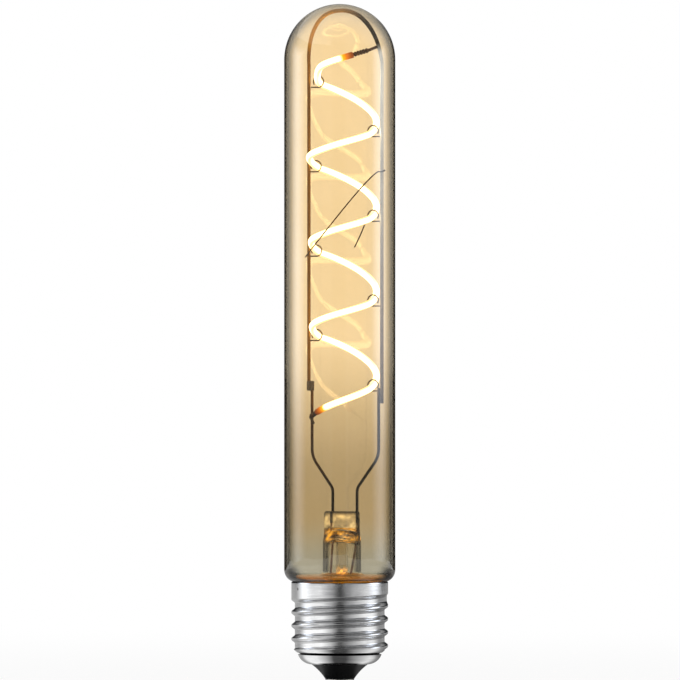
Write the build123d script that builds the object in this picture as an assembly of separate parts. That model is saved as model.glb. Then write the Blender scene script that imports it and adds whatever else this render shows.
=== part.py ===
from build123d import *
import os
from math import cos, pi, radians, sin, sqrt, tan

# Tubular LED filament lamp with an E27 screw cap, millimetres, +Z up along the lamp.
# The origin is the centre of the contact's flat face. -Y is the front.

# Cap, from the contact upwards
contact_radius = 3.9
contact_height = 1.6
contact_edge_radius = 1.0
rivet_radius = 1.0
rivet_proud = 0.4
insulator_height = 4.1
insulator_radius = 8.75
insulator_hollow_radius = 17.0
insulator_plug_height = 2.0
lip_clearance = 0.2
bowl_height = 3.4
bowl_radius = 5.5
thread_length = 16.1
skirt_length = 2.8
crest_radius = 13.15
groove_depth = 1.05
shell_sheet = 0.35

# Edison thread: one right-handed rolled groove
thread_pitch = 3.629
groove_floor = 1.1
groove_mouth = 2.9
groove_top_gap = 1.65
groove_start_turn = 20.0
weld_mark_radius = 1.2
weld_mark_depth = 0.1
weld_mark_turn = 210.0
weld_mark_drop = 1.8

# Glass envelope
envelope_radius = 15.1
envelope_wall = 0.8
envelope_rise = 157.0
shoulder_radius = 3.3
shoulder_angle = 66.0
rim_rest = 0.05
cement_thickness = 0.4
cement_bed = 0.8

# Stem, set a little to the right of the lamp's axis and turned with the wire frame
mount_turn = 24.0
stem_offset = 0.6
stem_radius = 5.25
stem_wall = 0.8
stem_rise = 19.2
pinch_height = 5.0
pinch_thickness = 3.3
pinch_chamfer = 0.6
press_height = 4.0
flare_disc_lift = 0.5
flare_curve = 1.5
seal_rise = 0.6
exhaust_radius = 1.6
exhaust_wall = 0.5
exhaust_length = 11.0
exhaust_seat = 0.6
blow_hole_radius = 0.6
inlet_radius = 0.75

# Wire frame: arch and two legs
mount_offset = 1.4
frame_wire = 0.95
leg_wall_gap = 2.1
arch_clearance = 0.25
arch_rise = 14.9
wire_sides = 6
curve_steps = 4

# Filament coil and what carries it
coil_turns = 4.21
coil_start_turn = 51.0
coil_top_drop = 9.5
coil_bottom_rise = 27.0
coil_lean = 1.0
filament_width = 1.75
filament_sides = 6
hook_reach = 2.25
hook_wire = 0.35
hook_clearance = 0.45
hook_opening = 60.0
loose_hook_number = 2
loose_end_reach = 4.6
loose_end_drop = 8.5
tab_width = 0.9
tab_thickness = 0.35
top_tab_share = 0.62
bottom_tab_share = 0.385
tab_bend = 1.0
tab_bite = 0.25
crimp_width = 1.35
crimp_sides = 8
crimp_gap = 0.3
crimp_share = 0.9
top_tab_rise = 2.3
bottom_tab_drop = 3.0
tie_upper_rise = 11.9
tie_lower_drop = 0.8
tie_coil_gap = 0.7

# Leads
lead_wire = 0.8
lead_spacing = 7.2
lead_embed = 3.2
lead_rise_to_bend = 6.2
lead_slope_height = 8.6
lead_lower_bend = 3.0
lead_upper_bend = 7.0
leg_tail = 4.6
right_lap = 4.2
left_leg_shorter = 3.6
bead_height = 2.7
bead_margin = 0.2
bead_wire_gap = 0.1
outer_wire = 0.5
outer_bend = 1.5
outer_pad_spacing = 5.2
outer_pad_length = 3.4

# Driver in the cap
board_width = 16.0
board_height = 15.0
board_thickness = 1.0
board_lift = 1.4
capacitor_radius = 3.15
capacitor_length = 7.0
capacitor_side = 3.3
capacitor_lift = 4.8
pin_wire = 0.6
pin_spacing = 2.5
pin_clearance = 0.1
pin_proud = 0.8
bridge_size = (4.7, 2.4, 3.9)
bridge_lead_count = 2
chip_size = (3.9, 1.5, 4.9)
chip_lead_count = 4
lead_foot = (1.0, 0.25, 0.5)
chip_pitch = 1.27
bridge_pitch = 2.54
bridge_side = 3.6
chip_drop = 4.0
resistor_radius = 1.25
resistor_length = 6.0
resistor_side = 5.0
resistor_lift = 7.0
resistor_wire = 0.5
shell_wire_size = 0.35

# Levels and radii worked out from the sizes above
lip_level = contact_height + insulator_height
bowl_top = lip_level + bowl_height
seat_level = bowl_top + thread_length
rim_level = seat_level + skirt_length
weld_mark_height = rim_level - weld_mark_drop
valley_radius = crest_radius - groove_depth
thread_bore = valley_radius - shell_sheet
rim_bore = crest_radius - shell_sheet
lip_radius = insulator_radius + lip_clearance
plug_top = lip_level + shell_sheet + insulator_plug_height
neck_radius = rim_bore - cement_thickness
neck_bottom = seat_level + cement_bed
dome_centre = rim_level + envelope_rise - envelope_radius
inner_radius = envelope_radius - envelope_wall
shoulder_slope = radians(shoulder_angle)
shoulder_centre = envelope_radius - shoulder_radius
shoulder_reach = shoulder_centre + shoulder_radius * cos(shoulder_slope)
shoulder_foot = rim_level + rim_rest + (shoulder_reach - rim_bore) / tan(shoulder_slope)
shoulder_top = shoulder_foot + shoulder_radius * sin(shoulder_slope)
neck_top = rim_level + rim_rest - cement_thickness / tan(shoulder_slope)
pinch_top = rim_level + stem_rise
pinch_bottom = pinch_top - pinch_height
press_bottom = pinch_bottom - press_height
half_span = inner_radius - leg_wall_gap - mount_offset
coil_radius = half_span - hook_reach
arch_radius_limit = inner_radius - arch_clearance - frame_wire / 2
arch_top = dome_centre + sqrt(arch_radius_limit ** 2 - mount_offset ** 2)
arch_spring = arch_top - arch_rise
coil_top = arch_top - coil_top_drop
coil_end_turn = coil_start_turn + 360 * coil_turns
coil_pitch = (coil_top - pinch_top - coil_bottom_rise) / (coil_end_turn / 360)
right_lead_place = half_span - (frame_wire + lead_wire) / 2
left_lead_place = half_span - (frame_wire + lead_wire) / 2 - bead_wire_gap
ring_radius = filament_width / 2 + hook_clearance + hook_wire / 2
board_bottom = plug_top + rivet_proud + board_lift
board_top = board_bottom + board_height

mount = Pos(mount_offset, 0, 0) * Rot(0, 0, -mount_turn)
stem_place = Pos(stem_offset, 0, 0) * Rot(0, 0, -mount_turn)


def turned(*curves):
    """Solid turned about Z from curves that enclose an area of (radius, height)."""
    edges = [edge for curve in curves for edge in curve.edges()]
    return revolve(Plane.XZ * make_face(edges), Axis.Z)


def stepped(curve):
    """Short straight runs that follow a small curve, turned as narrow cones."""
    return Polyline(*[curve @ (step / curve_steps) for step in range(curve_steps + 1)])


def wire(path, size, across=None, sides=wire_sides):
    """Wire of a many-sided section along a path; across is a direction that a corner points in."""
    section = RegularPolygon(size / 2, sides, major_radius=False)
    plane = Plane(path @ 0, x_dir=across, z_dir=path % 0)
    return sweep(plane * section, path)


def coil_point(turn):
    """Point of the filament's centre line in the mount's own frame; turn is degrees from the right hook."""
    angle = radians(turn)
    height = coil_top - coil_pitch * turn / 360 - coil_lean * cos(angle)
    return Vector(coil_radius * cos(angle), -coil_radius * sin(angle), height)


def coil_direction(turn):
    """Direction in which the filament runs down at a turn."""
    return (coil_point(turn + 1) - coil_point(turn - 1)).normalized()


# Cap

def bowl_arc(inset):
    """Rounded bottom of the shell, from the thread's valley down to the lip."""
    top = Vector(valley_radius, bowl_top)
    lip = Vector(lip_radius, lip_level)
    middle = (top + lip) / 2
    half_chord = (top - lip).length / 2
    inward = Vector(lip_level - bowl_top, valley_radius - lip_radius).normalized()
    centre = middle + inward * sqrt(bowl_radius ** 2 - half_chord ** 2)
    ends = [centre + (end - centre).normalized() * (bowl_radius - inset) for end in (top, lip)]
    bulge = centre - inward * (bowl_radius - inset)
    return stepped(ThreePointArc(ends[0], bulge, ends[1]))


def cap_cavity():
    """Room inside the shell: bowl, thread bore and the wider seat in the skirt."""
    arc = bowl_arc(shell_sheet)
    arc_top = arc @ 0
    arc_foot = arc @ 1
    side = Polyline(
        (arc_top.X, arc_top.Y), (thread_bore, bowl_top + shell_sheet), (thread_bore, seat_level),
        (rim_bore, seat_level), (rim_bore, rim_level), (0, rim_level), (0, arc_foot.Y),
        (arc_foot.X, arc_foot.Y))
    return turned(arc, side)


def thread_groove():
    """Right-handed groove that runs out along its tangent at the top and passes the bowl below."""
    depth_out = groove_depth + shell_sheet
    flare_out = (groove_mouth - groove_floor) / 2 * depth_out / groove_depth
    top = seat_level - groove_top_gap
    drop = top - bowl_top + thread_pitch / 2
    helix = Helix(thread_pitch, drop, valley_radius)
    profile = make_face(Polyline(
        (0, groove_floor / 2), (depth_out, groove_floor / 2 + flare_out),
        (depth_out, -groove_floor / 2 - flare_out), (0, -groove_floor / 2), close=True))
    start = Plane(helix @ 0, x_dir=(1, 0, 0), z_dir=(0, -1, 0)) * profile
    run = sweep(start, helix, is_frenet=True)
    end_turn = 360 * drop / thread_pitch
    end = Rot(0, 0, end_turn) * Pos(0, 0, drop) * start
    run_out = sqrt(crest_radius ** 2 - valley_radius ** 2)
    groove = run + extrude(end, run_out, helix % 1)
    return Pos(0, 0, top - drop) * Rot(0, 0, groove_start_turn - end_turn) * groove


def screw_shell():
    arc = bowl_arc(0)
    foot = arc @ 1
    side = Polyline(
        (valley_radius, bowl_top), (crest_radius, bowl_top + groove_depth), (crest_radius, rim_level),
        (0, rim_level), (0, foot.Y), (foot.X, foot.Y))
    mouth = Pos(0, 0, lip_level) * Cylinder(lip_radius, 2 * shell_sheet)
    weld_mark = Rot(0, 0, weld_mark_turn) * Pos(crest_radius, 0, weld_mark_height) * Rot(0, 90, 0) * Cylinder(
        weld_mark_radius, 2 * weld_mark_depth)
    return turned(arc, side) - cap_cavity() - mouth - thread_groove() - weld_mark


def cap_insulator():
    hollow = stepped(RadiusArc(
        (contact_radius, contact_height), (insulator_radius, lip_level), -insulator_hollow_radius))
    level = (bowl_arc(shell_sheet) @ 1).Y
    cone = turned(hollow, Polyline(
        (insulator_radius, lip_level), (insulator_radius, level), (0, level), (0, contact_height),
        (contact_radius, contact_height)))
    plug = Pos(0, 0, level) * Cylinder(
        thread_bore, plug_top - level, align=(Align.CENTER, Align.CENTER, Align.MIN))
    rivet_hole = Cylinder(rivet_radius, 2 * plug_top)
    return cone + (plug & cap_cavity()) - rivet_hole


def centre_contact():
    flat = contact_radius - contact_edge_radius
    edge = stepped(CenterArc((flat, contact_edge_radius), contact_edge_radius, -90, 90))
    top = plug_top + rivet_proud
    return turned(edge, Polyline(
        (contact_radius, contact_edge_radius), (contact_radius, contact_height),
        (rivet_radius, contact_height), (rivet_radius, top), (0, top), (0, 0), (flat, 0)))


def basing_cement(embedded_wire):
    ring = turned(Polyline(
        (thread_bore, seat_level), (rim_bore, seat_level), (rim_bore, neck_top),
        (neck_radius, neck_top), (neck_radius, neck_bottom), (thread_bore, neck_bottom), close=True))
    return ring - embedded_wire


# Glass

def glass_curve(inset):
    """Envelope outline from the dome's top to the neck's foot, with the points at both ends."""
    radius = envelope_radius - inset
    bend = shoulder_radius - inset
    neck = neck_radius - inset
    foot_radius = shoulder_centre + bend * cos(shoulder_slope)
    foot_height = shoulder_top - bend * sin(shoulder_slope)
    neck_height = foot_height - (foot_radius - neck) / tan(shoulder_slope)
    dome = CenterArc((0, dome_centre), radius, 90, -90)
    side = Line((radius, dome_centre), (radius, shoulder_top))
    shoulder = CenterArc((shoulder_centre, shoulder_top), bend, 0, -shoulder_angle)
    neck_line = Polyline((foot_radius, foot_height), (neck, neck_height), (neck, neck_bottom))
    return [dome, side, shoulder, neck_line], (0, dome_centre + radius), (neck, neck_bottom)


def glass_envelope():
    outer, outer_top, outer_foot = glass_curve(0)
    inner, inner_top, inner_foot = glass_curve(envelope_wall)
    return turned(*outer, *inner, Line(outer_top, inner_top), Line(outer_foot, inner_foot))


def glass_room():
    """Room inside the envelope's shoulder, which trims the stem that is fused to its wall."""
    (_, _, shoulder, neck_line), _, foot = glass_curve(envelope_wall)
    start = shoulder @ 0
    return turned(stepped(shoulder), neck_line, Polyline(
        (start.X, start.Y), (start.X, pinch_top), (0, pinch_top), (0, neck_bottom), foot))


def stem_flare(embedded_wires):
    disc = rim_level + flare_disc_lift
    top_face = disc + stem_wall
    bore = stem_radius - stem_wall
    bend_foot = stem_radius + flare_curve
    bend_level = top_face + flare_curve
    seal = inner_radius + stem_offset
    upper = stepped(CenterArc((bend_foot, bend_level), flare_curve, 180, 90))
    lower = stepped(CenterArc((bend_foot, bend_level), flare_curve + stem_wall, 180, 90))
    wall = Polyline(
        (stem_radius, bend_level), (stem_radius, press_bottom), (bore, press_bottom), (bore, bend_level))
    rim = Polyline(
        (bend_foot, top_face), (neck_radius - 2 * stem_wall, top_face), (seal, top_face + 2 * seal_rise),
        (seal, disc), (bend_foot, disc))
    tube = turned(upper, lower, wall, rim)
    flare = (Pos(stem_offset, 0, 0) * tube) & glass_room()
    half = pinch_thickness / 2
    jaw = stem_radius - half
    waist = half + jaw / 3
    waist_level = pinch_bottom - press_height / 3
    press = make_face(Polyline(
        (-stem_radius - half, press_bottom), (-waist, waist_level), (-half, pinch_bottom),
        (-half, pinch_top - pinch_chamfer), (pinch_chamfer - half, pinch_top),
        (half - pinch_chamfer, pinch_top), (half, pinch_top - pinch_chamfer),
        (half, pinch_bottom), (waist, waist_level), (stem_radius + half, press_bottom), close=True))
    pressed = extrude(Plane.YZ * press, 2 * stem_radius, both=True)
    pressed &= Pos(0, 0, press_bottom) * Cylinder(
        stem_radius, pinch_top - press_bottom, align=(Align.CENTER, Align.CENTER, Align.MIN))
    stem = flare + stem_place * pressed
    inlet = exhaust_inlet()
    return stem - inlet - embedded_wires


def exhaust_inlet():
    """Way from the exhaust tube's bore out through the stem's front."""
    seat = Pos(0, 0, press_bottom - exhaust_seat) * Cylinder(
        exhaust_radius, 2 * exhaust_seat, align=(Align.CENTER, Align.CENTER, Align.MIN))
    way_up = Pos(0, 0, press_bottom) * Cylinder(
        inlet_radius, exhaust_seat + 3 * inlet_radius, align=(Align.CENTER, Align.CENTER, Align.MIN))
    level = press_bottom + exhaust_seat + 2 * inlet_radius
    way_out = Pos(0, 0, level) * Rot(90, 0, 0) * Cylinder(
        blow_hole_radius, 2 * stem_radius, align=(Align.CENTER, Align.CENTER, Align.MIN))
    return stem_place * (seat + way_up + way_out)


def exhaust_tube():
    bore = exhaust_radius - exhaust_wall
    top = press_bottom + exhaust_seat
    tip = top - exhaust_length
    outer = stepped(CenterArc((0, tip + exhaust_radius), exhaust_radius, -90, 90))
    inner = stepped(CenterArc((0, tip + exhaust_radius), bore, -90, 90))
    wall = Polyline(
        (exhaust_radius, tip + exhaust_radius), (exhaust_radius, top), (bore, top),
        (bore, tip + exhaust_radius))
    return stem_place * turned(outer, inner, wall, Line((0, tip), (0, tip + exhaust_wall)))


# Wires of the mount, in the mount's own frame with the frame's plane at y = 0

def leg_ends():
    """Lower ends of the right and left legs."""
    right = coil_point(360 * int(coil_end_turn / 360)).Z - leg_tail
    return right, right + left_leg_shorter


def frame_reach(level):
    """Distance of the right leg or the arch from the mount's middle at a level."""
    above = max(level - arch_spring, 0) / arch_rise
    return half_span * sqrt(1 - above ** 2)


def support_frame():
    right_end, left_end = leg_ends()
    outline = Line((half_span, right_end), (half_span, arch_spring))
    outline += EllipticalCenterArc((0, arch_spring), half_span, arch_rise, 0, arc_size=180)
    outline += Line((-half_span, arch_spring), (-half_span, left_end))
    path = Wire((Plane.XZ * outline).edges())
    return wire(path, frame_wire, across=(0, 1, 0))


def inner_lead(side, place, top):
    """Thick lead from inside the pinch, out along a slope and up beside the leg."""
    foot = side * lead_spacing / 2
    slope_foot = pinch_top + lead_rise_to_bend
    path = FilletPolyline(
        (foot, 0, pinch_top - lead_embed), (foot, 0, slope_foot),
        (side * place, 0, slope_foot + lead_slope_height), (side * place, 0, top),
        radius=(lead_lower_bend, lead_upper_bend))
    return wire(path, lead_wire, across=(0, 1, 0))


def outer_lead(side):
    """Copper lead from the pinch down the stem to its pad on the driver board, in the lamp's frame."""
    start = mount * Pos(side * lead_spacing / 2, 0, pinch_top - lead_embed)
    foot = mount * Pos(side * lead_spacing / 2, 0, press_bottom + press_height / 2)
    face = -(board_thickness + outer_wire) / 2
    pad = side * outer_pad_spacing / 2
    path = FilletPolyline(
        start.position, foot.position, (pad, face, board_top + 2 * outer_bend),
        (pad, face, board_top - outer_pad_length), radius=outer_bend)
    return wire(path, outer_wire)


def insulating_bead(wires):
    right_end, left_end = leg_ends()
    reach = half_span - left_lead_place
    width = (frame_wire + lead_wire) / 2 + 2 * bead_margin
    slot = SlotOverall(reach + width, lead_wire + 2 * bead_margin)
    middle = -(half_span + left_lead_place) / 2
    bead = Pos(middle, 0, left_end - bead_margin) * extrude(slot, bead_height)
    ends = bead.edges().group_by(Axis.Z)
    return chamfer(ends[0] + ends[-1], bead_margin / 2) - wires


# Filament and what holds it, in the mount's own frame

def led_filament():
    height = coil_pitch * coil_turns
    helix = Helix(coil_pitch, height, coil_radius)
    section = Plane(helix @ 0, x_dir=(1, 0, 0), z_dir=helix % 0) * RegularPolygon(
        filament_width / 2, filament_sides, major_radius=False)
    coil = Pos(0, 0, coil_top - coil_pitch * coil_end_turn / 360) * Rot(0, 0, -coil_end_turn) * sweep(
        section, helix, is_frenet=True)
    lean = coil_lean / coil_radius
    return coil.transform_geometry(Matrix([[1, 0, 0, 0], [0, 1, 0, 0], [-lean, 0, 1, 0]]))


def filament_hook(side, turn, has_loose_end):
    """Open ring round the filament with a straight tail back to the leg."""
    centre = coil_point(turn)
    section = Pos(ring_radius, 0) * Rectangle(hook_wire, hook_wire)
    ring = revolve(Plane.XZ * section, Axis.Z, 360 - hook_opening)
    ring = Rot(90, 0, 0) * Rot(0, 0, -90) * ring
    tail_length = half_span - frame_wire / 2 - coil_radius
    tail = Pos(tail_length / 2, 0, -ring_radius) * Box(tail_length, hook_wire, hook_wire)
    hook = ring + tail
    if has_loose_end:
        reach = Vector(-loose_end_reach, loose_end_reach / 3, -loose_end_drop)
        start = Vector(-ring_radius, 0, 0)
        path = Line(start, start + reach)
        hook += wire(path, hook_wire, sides=4)
    if side < 0:
        hook = mirror(hook, Plane.YZ)
    return Pos(centre.X, 0, centre.Z) * hook


def filament_tab(turn, outward, joint, straight_share):
    """Metal strip crimped to a filament end along its own line, then across to the wire that carries it."""
    end = coil_point(turn)
    direction = coil_direction(turn) * outward
    straight = (Vector(joint) - end).length * straight_share
    path = FilletPolyline(end - direction * tab_bite, end + direction * straight, joint, radius=tab_bend)
    section = Plane(path @ 0, z_dir=path % 0) * Rectangle(tab_width, tab_thickness)
    seat = Plane(end + direction * crimp_gap, z_dir=direction)
    crimp = extrude(seat * RegularPolygon(crimp_width / 2, crimp_sides), straight * crimp_share - crimp_gap)
    return sweep(section, path) + crimp


def tie_wire():
    """Fine wire bowed round the front of the coil from the right leg down to the left leg."""
    middle_hook = coil_point(2 * 360)
    left_hook = coil_point(2 * 360 + 180)
    start = Vector(half_span, 0, middle_hook.Z + tie_upper_rise)
    finish = Vector(-half_span, 0, left_hook.Z - tie_lower_drop)
    bow = coil_radius + (filament_width + hook_wire) / 2 + tie_coil_gap
    turn = radians(mount_turn)
    share = (bow * sin(turn) + half_span * cos(turn)) / (2 * half_span * cos(turn))
    front = Vector(0, -bow, start.Z + (finish.Z - start.Z) * share)
    return wire(ThreePointArc(start, front, finish), hook_wire, sides=4)


# Driver

def driver_board():
    board = Pos(0, 0, (board_bottom + board_top) / 2) * Box(board_width, board_thickness, board_height)
    for offset in (-pin_spacing / 2, pin_spacing / 2):
        hole = Pos(offset - capacitor_side, 0, board_bottom + capacitor_lift) * Rot(90, 0, 0) * Cylinder(
            pin_wire / 2 + pin_clearance, 2 * board_thickness)
        board -= hole
    return board


def smoothing_capacitor():
    bottom = -board_thickness / 2
    can = Cylinder(capacitor_radius, capacitor_length, align=(Align.CENTER, Align.CENTER, Align.MIN))
    can = chamfer(can.edges().filter_by(GeomType.CIRCLE), capacitor_radius / 8)
    pin_length = board_thickness + pin_proud
    for offset in (-pin_spacing / 2, pin_spacing / 2):
        can += Pos(offset, 0, -pin_length) * Cylinder(
            pin_wire / 2, pin_length, align=(Align.CENTER, Align.CENTER, Align.MIN))
    return Pos(-capacitor_side, bottom, board_bottom + capacitor_lift) * Rot(90, 0, 0) * can


def chip_package(size, lead_count, pitch, side, lift):
    """Moulded package with rows of flat feet, on the back of the board."""
    width, depth, height = size
    foot_width, foot_thickness, foot_height = lead_foot
    face = board_thickness / 2
    body = Pos(0, face + foot_thickness + depth / 2, 0) * Box(width, depth, height)
    body = chamfer(body.faces().sort_by(Axis.Y)[-1].edges(), depth / 8)
    row = (lead_count - 1) * pitch / 2
    for place in range(lead_count):
        for edge in (-1, 1):
            foot = Pos(edge * width / 2, face + foot_thickness / 2, place * pitch - row)
            body += foot * Box(2 * foot_width, foot_thickness, foot_height)
    return Pos(side, 0, board_bottom + lift) * body


def fuse_resistor():
    """Axial fuse resistor on the board's front; its long lead goes down to the contact's rivet."""
    depth = -board_thickness / 2 - resistor_radius
    level = board_bottom + resistor_lift
    body = Cylinder(resistor_radius, resistor_length)
    body = chamfer(body.edges().filter_by(GeomType.CIRCLE), resistor_radius / 3)
    body = Pos(resistor_side, depth, level) * body
    rivet_top = plug_top + rivet_proud
    down = FilletPolyline(
        (resistor_side, depth, level), (resistor_side, depth, board_bottom - board_lift / 3),
        (0, 0, rivet_top + board_lift / 2), (0, 0, rivet_top), radius=resistor_wire / 2)
    up_level = level + resistor_length / 2 + 2 * resistor_wire
    up = FilletPolyline(
        (resistor_side, depth, level), (resistor_side, depth, up_level),
        (resistor_side, -board_thickness / 2, up_level), radius=resistor_wire)
    return body + wire(down, resistor_wire) + wire(up, resistor_wire)


def shell_wire():
    """Fine wire from the board's edge up behind the skirt to the weld mark."""
    turn = radians(weld_mark_turn)
    gap = (neck_radius + rim_bore) / 2
    low = thread_bore - 2 * shell_wire_size
    bed = (seat_level + neck_bottom) / 2
    face = -(board_thickness + shell_wire_size) / 2
    pad = -board_width / 2 + pin_wire
    path = Polyline(
        (pad, face, board_top - outer_pad_length), (pad, face, board_top - pin_wire),
        (low * cos(turn), low * sin(turn), bed), (gap * cos(turn), gap * sin(turn), bed),
        (gap * cos(turn), gap * sin(turn), weld_mark_height))
    section = Plane(path @ 0, z_dir=path % 0) * RegularPolygon(shell_wire_size / 2, 4, major_radius=False)
    return sweep(section, path, transition=Transition.RIGHT)


# Assembly

def lamp():
    """All pieces by name."""
    right_end, left_end = leg_ends()
    frame = support_frame()
    right_lead = inner_lead(1, right_lead_place, right_end + right_lap)
    left_lead = inner_lead(-1, left_lead_place, left_end + bead_height - 2 * bead_margin)
    filament = led_filament()
    top_joint_level = coil_point(coil_start_turn).Z + top_tab_rise
    right_joint = (frame_reach(top_joint_level) - frame_wire / 2, 0, top_joint_level)
    left_joint = (lead_wire / 2 - left_lead_place, 0, coil_point(coil_end_turn).Z - bottom_tab_drop)
    top_tab = filament_tab(coil_start_turn, -1, right_joint, top_tab_share) - filament - frame
    bottom_tab = filament_tab(coil_end_turn, 1, left_joint, bottom_tab_share) - filament - left_lead
    pieces = {
        "support_frame": mount * frame,
        "right_lead_wire": mount * right_lead,
        "left_lead_wire": mount * left_lead,
        "insulating_bead": mount * insulating_bead(frame + left_lead),
        "led_filament": mount * filament,
        "top_filament_tab": mount * top_tab,
        "bottom_filament_tab": mount * bottom_tab,
        "tie_wire": mount * (tie_wire() - frame),
    }
    right_hooks = [360 * turn for turn in range(1, int(coil_end_turn / 360) + 1)]
    left_hooks = [360 * turn + 180 for turn in range(int((coil_end_turn - 180) / 360) + 1)]
    for number, turn in enumerate(right_hooks, 1):
        hook = filament_hook(1, turn, number == loose_hook_number) - right_lead
        hook = hook.solids().sort_by(SortBy.VOLUME)[-1]
        pieces[f"filament_hook_right_{number}"] = mount * hook
    for number, turn in enumerate(left_hooks[:len(right_hooks)], 1):
        pieces[f"filament_hook_left_{number}"] = mount * filament_hook(-1, turn, False)
    pieces["right_outer_lead"] = outer_lead(1)
    pieces["left_outer_lead"] = outer_lead(-1)
    pinch_wires = [pieces[name] for name in (
        "right_lead_wire", "left_lead_wire", "right_outer_lead", "left_outer_lead")]
    pieces["stem_flare"] = stem_flare(pinch_wires)
    pieces["exhaust_tube"] = exhaust_tube()
    pieces["glass_envelope"] = glass_envelope()
    pieces["screw_shell"] = screw_shell()
    pieces["cap_insulator"] = cap_insulator()
    pieces["centre_contact"] = centre_contact()
    pieces["driver_board"] = driver_board()
    pieces["shell_wire"] = shell_wire() - pieces["driver_board"]
    pieces["basing_cement"] = basing_cement(pieces["shell_wire"])
    pieces["smoothing_capacitor"] = smoothing_capacitor()
    middle = board_height / 2
    chip_lift = board_height - chip_drop
    pieces["rectifier_bridge"] = chip_package(
        bridge_size, bridge_lead_count, bridge_pitch, bridge_side, middle)
    pieces["driver_chip"] = chip_package(
        chip_size, chip_lead_count, chip_pitch, -bridge_side, chip_lift)
    pieces["fuse_resistor"] = fuse_resistor()
    return pieces


os.makedirs("parts", exist_ok=True)
for name, piece in lamp().items():
    export_step(piece, f"parts/{name}.step")
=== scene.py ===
import logging
import math
from dataclasses import dataclass, field
from enum import Enum
from typing import Optional, Sequence

import bpy
from mathutils import Matrix, Vector


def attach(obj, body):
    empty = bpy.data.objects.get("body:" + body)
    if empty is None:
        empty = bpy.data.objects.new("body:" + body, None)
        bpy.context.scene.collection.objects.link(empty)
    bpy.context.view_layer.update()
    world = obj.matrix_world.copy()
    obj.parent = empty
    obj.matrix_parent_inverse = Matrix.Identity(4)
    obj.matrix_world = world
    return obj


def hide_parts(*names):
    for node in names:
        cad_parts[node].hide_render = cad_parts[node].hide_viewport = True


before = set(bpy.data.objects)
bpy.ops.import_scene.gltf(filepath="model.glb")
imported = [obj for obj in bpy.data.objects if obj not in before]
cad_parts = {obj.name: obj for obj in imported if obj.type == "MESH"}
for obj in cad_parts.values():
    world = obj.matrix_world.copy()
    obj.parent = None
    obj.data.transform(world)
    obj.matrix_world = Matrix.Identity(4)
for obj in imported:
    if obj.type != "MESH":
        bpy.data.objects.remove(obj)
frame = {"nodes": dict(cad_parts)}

logging.basicConfig(level=logging.INFO, format="%(message)s")
log = logging.getLogger("tubular_lamp")

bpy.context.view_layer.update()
MM = 0.001
SEAM = 0.0005
FAR_ABOVE = 1000.0
SHARP_ANGLE = 40.0
PRESSED_SHARP_ANGLE = 50.0
WIRE_SHARP_ANGLE = 60.0
FINE_WIRE_SIDES = 4

Point = tuple[float, float]
Span = tuple[float, float]
Place = tuple[float, float, float]
Colour = tuple[float, float, float]
Piece = bpy.types.Object
Node = bpy.types.Node
Socket = bpy.types.NodeSocket
Material = bpy.types.Material

BLACK = (0.0, 0.0, 0.0)
WHITE = (1.0, 1.0, 1.0)
STREAK_SPAN = (0.35, 0.7)
STREAK_DETAIL = 5.0
PATCH_SPAN = (0.38, 0.66)
PATCH_DETAIL = 3.0
MOTTLE_SPAN = (0.35, 0.68)


class Slot(Enum):
    """Material slots of the record."""

    AMBER_GLASS = "amber_glass"
    CLEAR_GLASS = "clear_glass"
    CAP_METAL = "cap_metal"
    BLACK_GLASS = "black_glass"
    CONTACT_METAL = "contact_metal"
    NICKEL_WIRE = "nickel_wire"
    FILAMENT = "filament"
    BEAD_GLASS = "bead_glass"


class Side(Enum):
    """Side of the wire frame, as seen from the front."""

    LEFT = -1
    RIGHT = 1


class End(Enum):
    """End of the filament, with the way along the spiral that leads out of it."""

    TOP = -1
    BOTTOM = 1


class Ray(Enum):
    """Kinds of rays that an object can be hidden from."""

    CAMERA = "visible_camera"
    DIFFUSE = "visible_diffuse"
    GLOSSY = "visible_glossy"
    TRANSMISSION = "visible_transmission"
    SHADOW = "visible_shadow"


# Modelling by hand


def deselect() -> None:
    """Leaves edit mode and deselects every object."""
    if bpy.context.object is not None and bpy.context.object.mode != "OBJECT":
        bpy.ops.object.mode_set(mode="OBJECT")
    bpy.ops.object.select_all(action="DESELECT")


def make_active(piece: Piece) -> None:
    """Selects one object alone and makes it the active one.

    Args:
        piece: The object.
    """
    deselect()
    piece.select_set(True)
    bpy.context.view_layer.objects.active = piece


def settle(piece: Piece, place: Optional[Matrix] = None) -> None:
    """Puts a piece's place and turn into its mesh, so that its object sits at the origin.

    Args:
        piece: The object to settle.
        place: Where to move the piece first, in the lamp's frame.
    """
    make_active(piece)
    if place is not None:
        piece.matrix_world = place @ piece.matrix_world
    bpy.ops.object.transform_apply(location=True, rotation=True, scale=True)


def smooth(piece: Piece, degrees: float = SHARP_ANGLE) -> None:
    """Shades a piece smooth, with sharp edges kept above an angle."""
    make_active(piece)
    bpy.ops.object.shade_smooth_by_angle(angle=math.radians(degrees))


def close_seams(piece: Piece) -> None:
    """Merges a piece's doubled points and turns its faces outwards.

    Args:
        piece: The piece.
    """
    make_active(piece)
    bpy.ops.object.mode_set(mode="EDIT")
    bpy.ops.mesh.select_all(action="SELECT")
    bpy.ops.mesh.remove_doubles(threshold=SEAM * MM)
    bpy.ops.mesh.normals_make_consistent(inside=False)
    bpy.ops.object.mode_set(mode="OBJECT")


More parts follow.
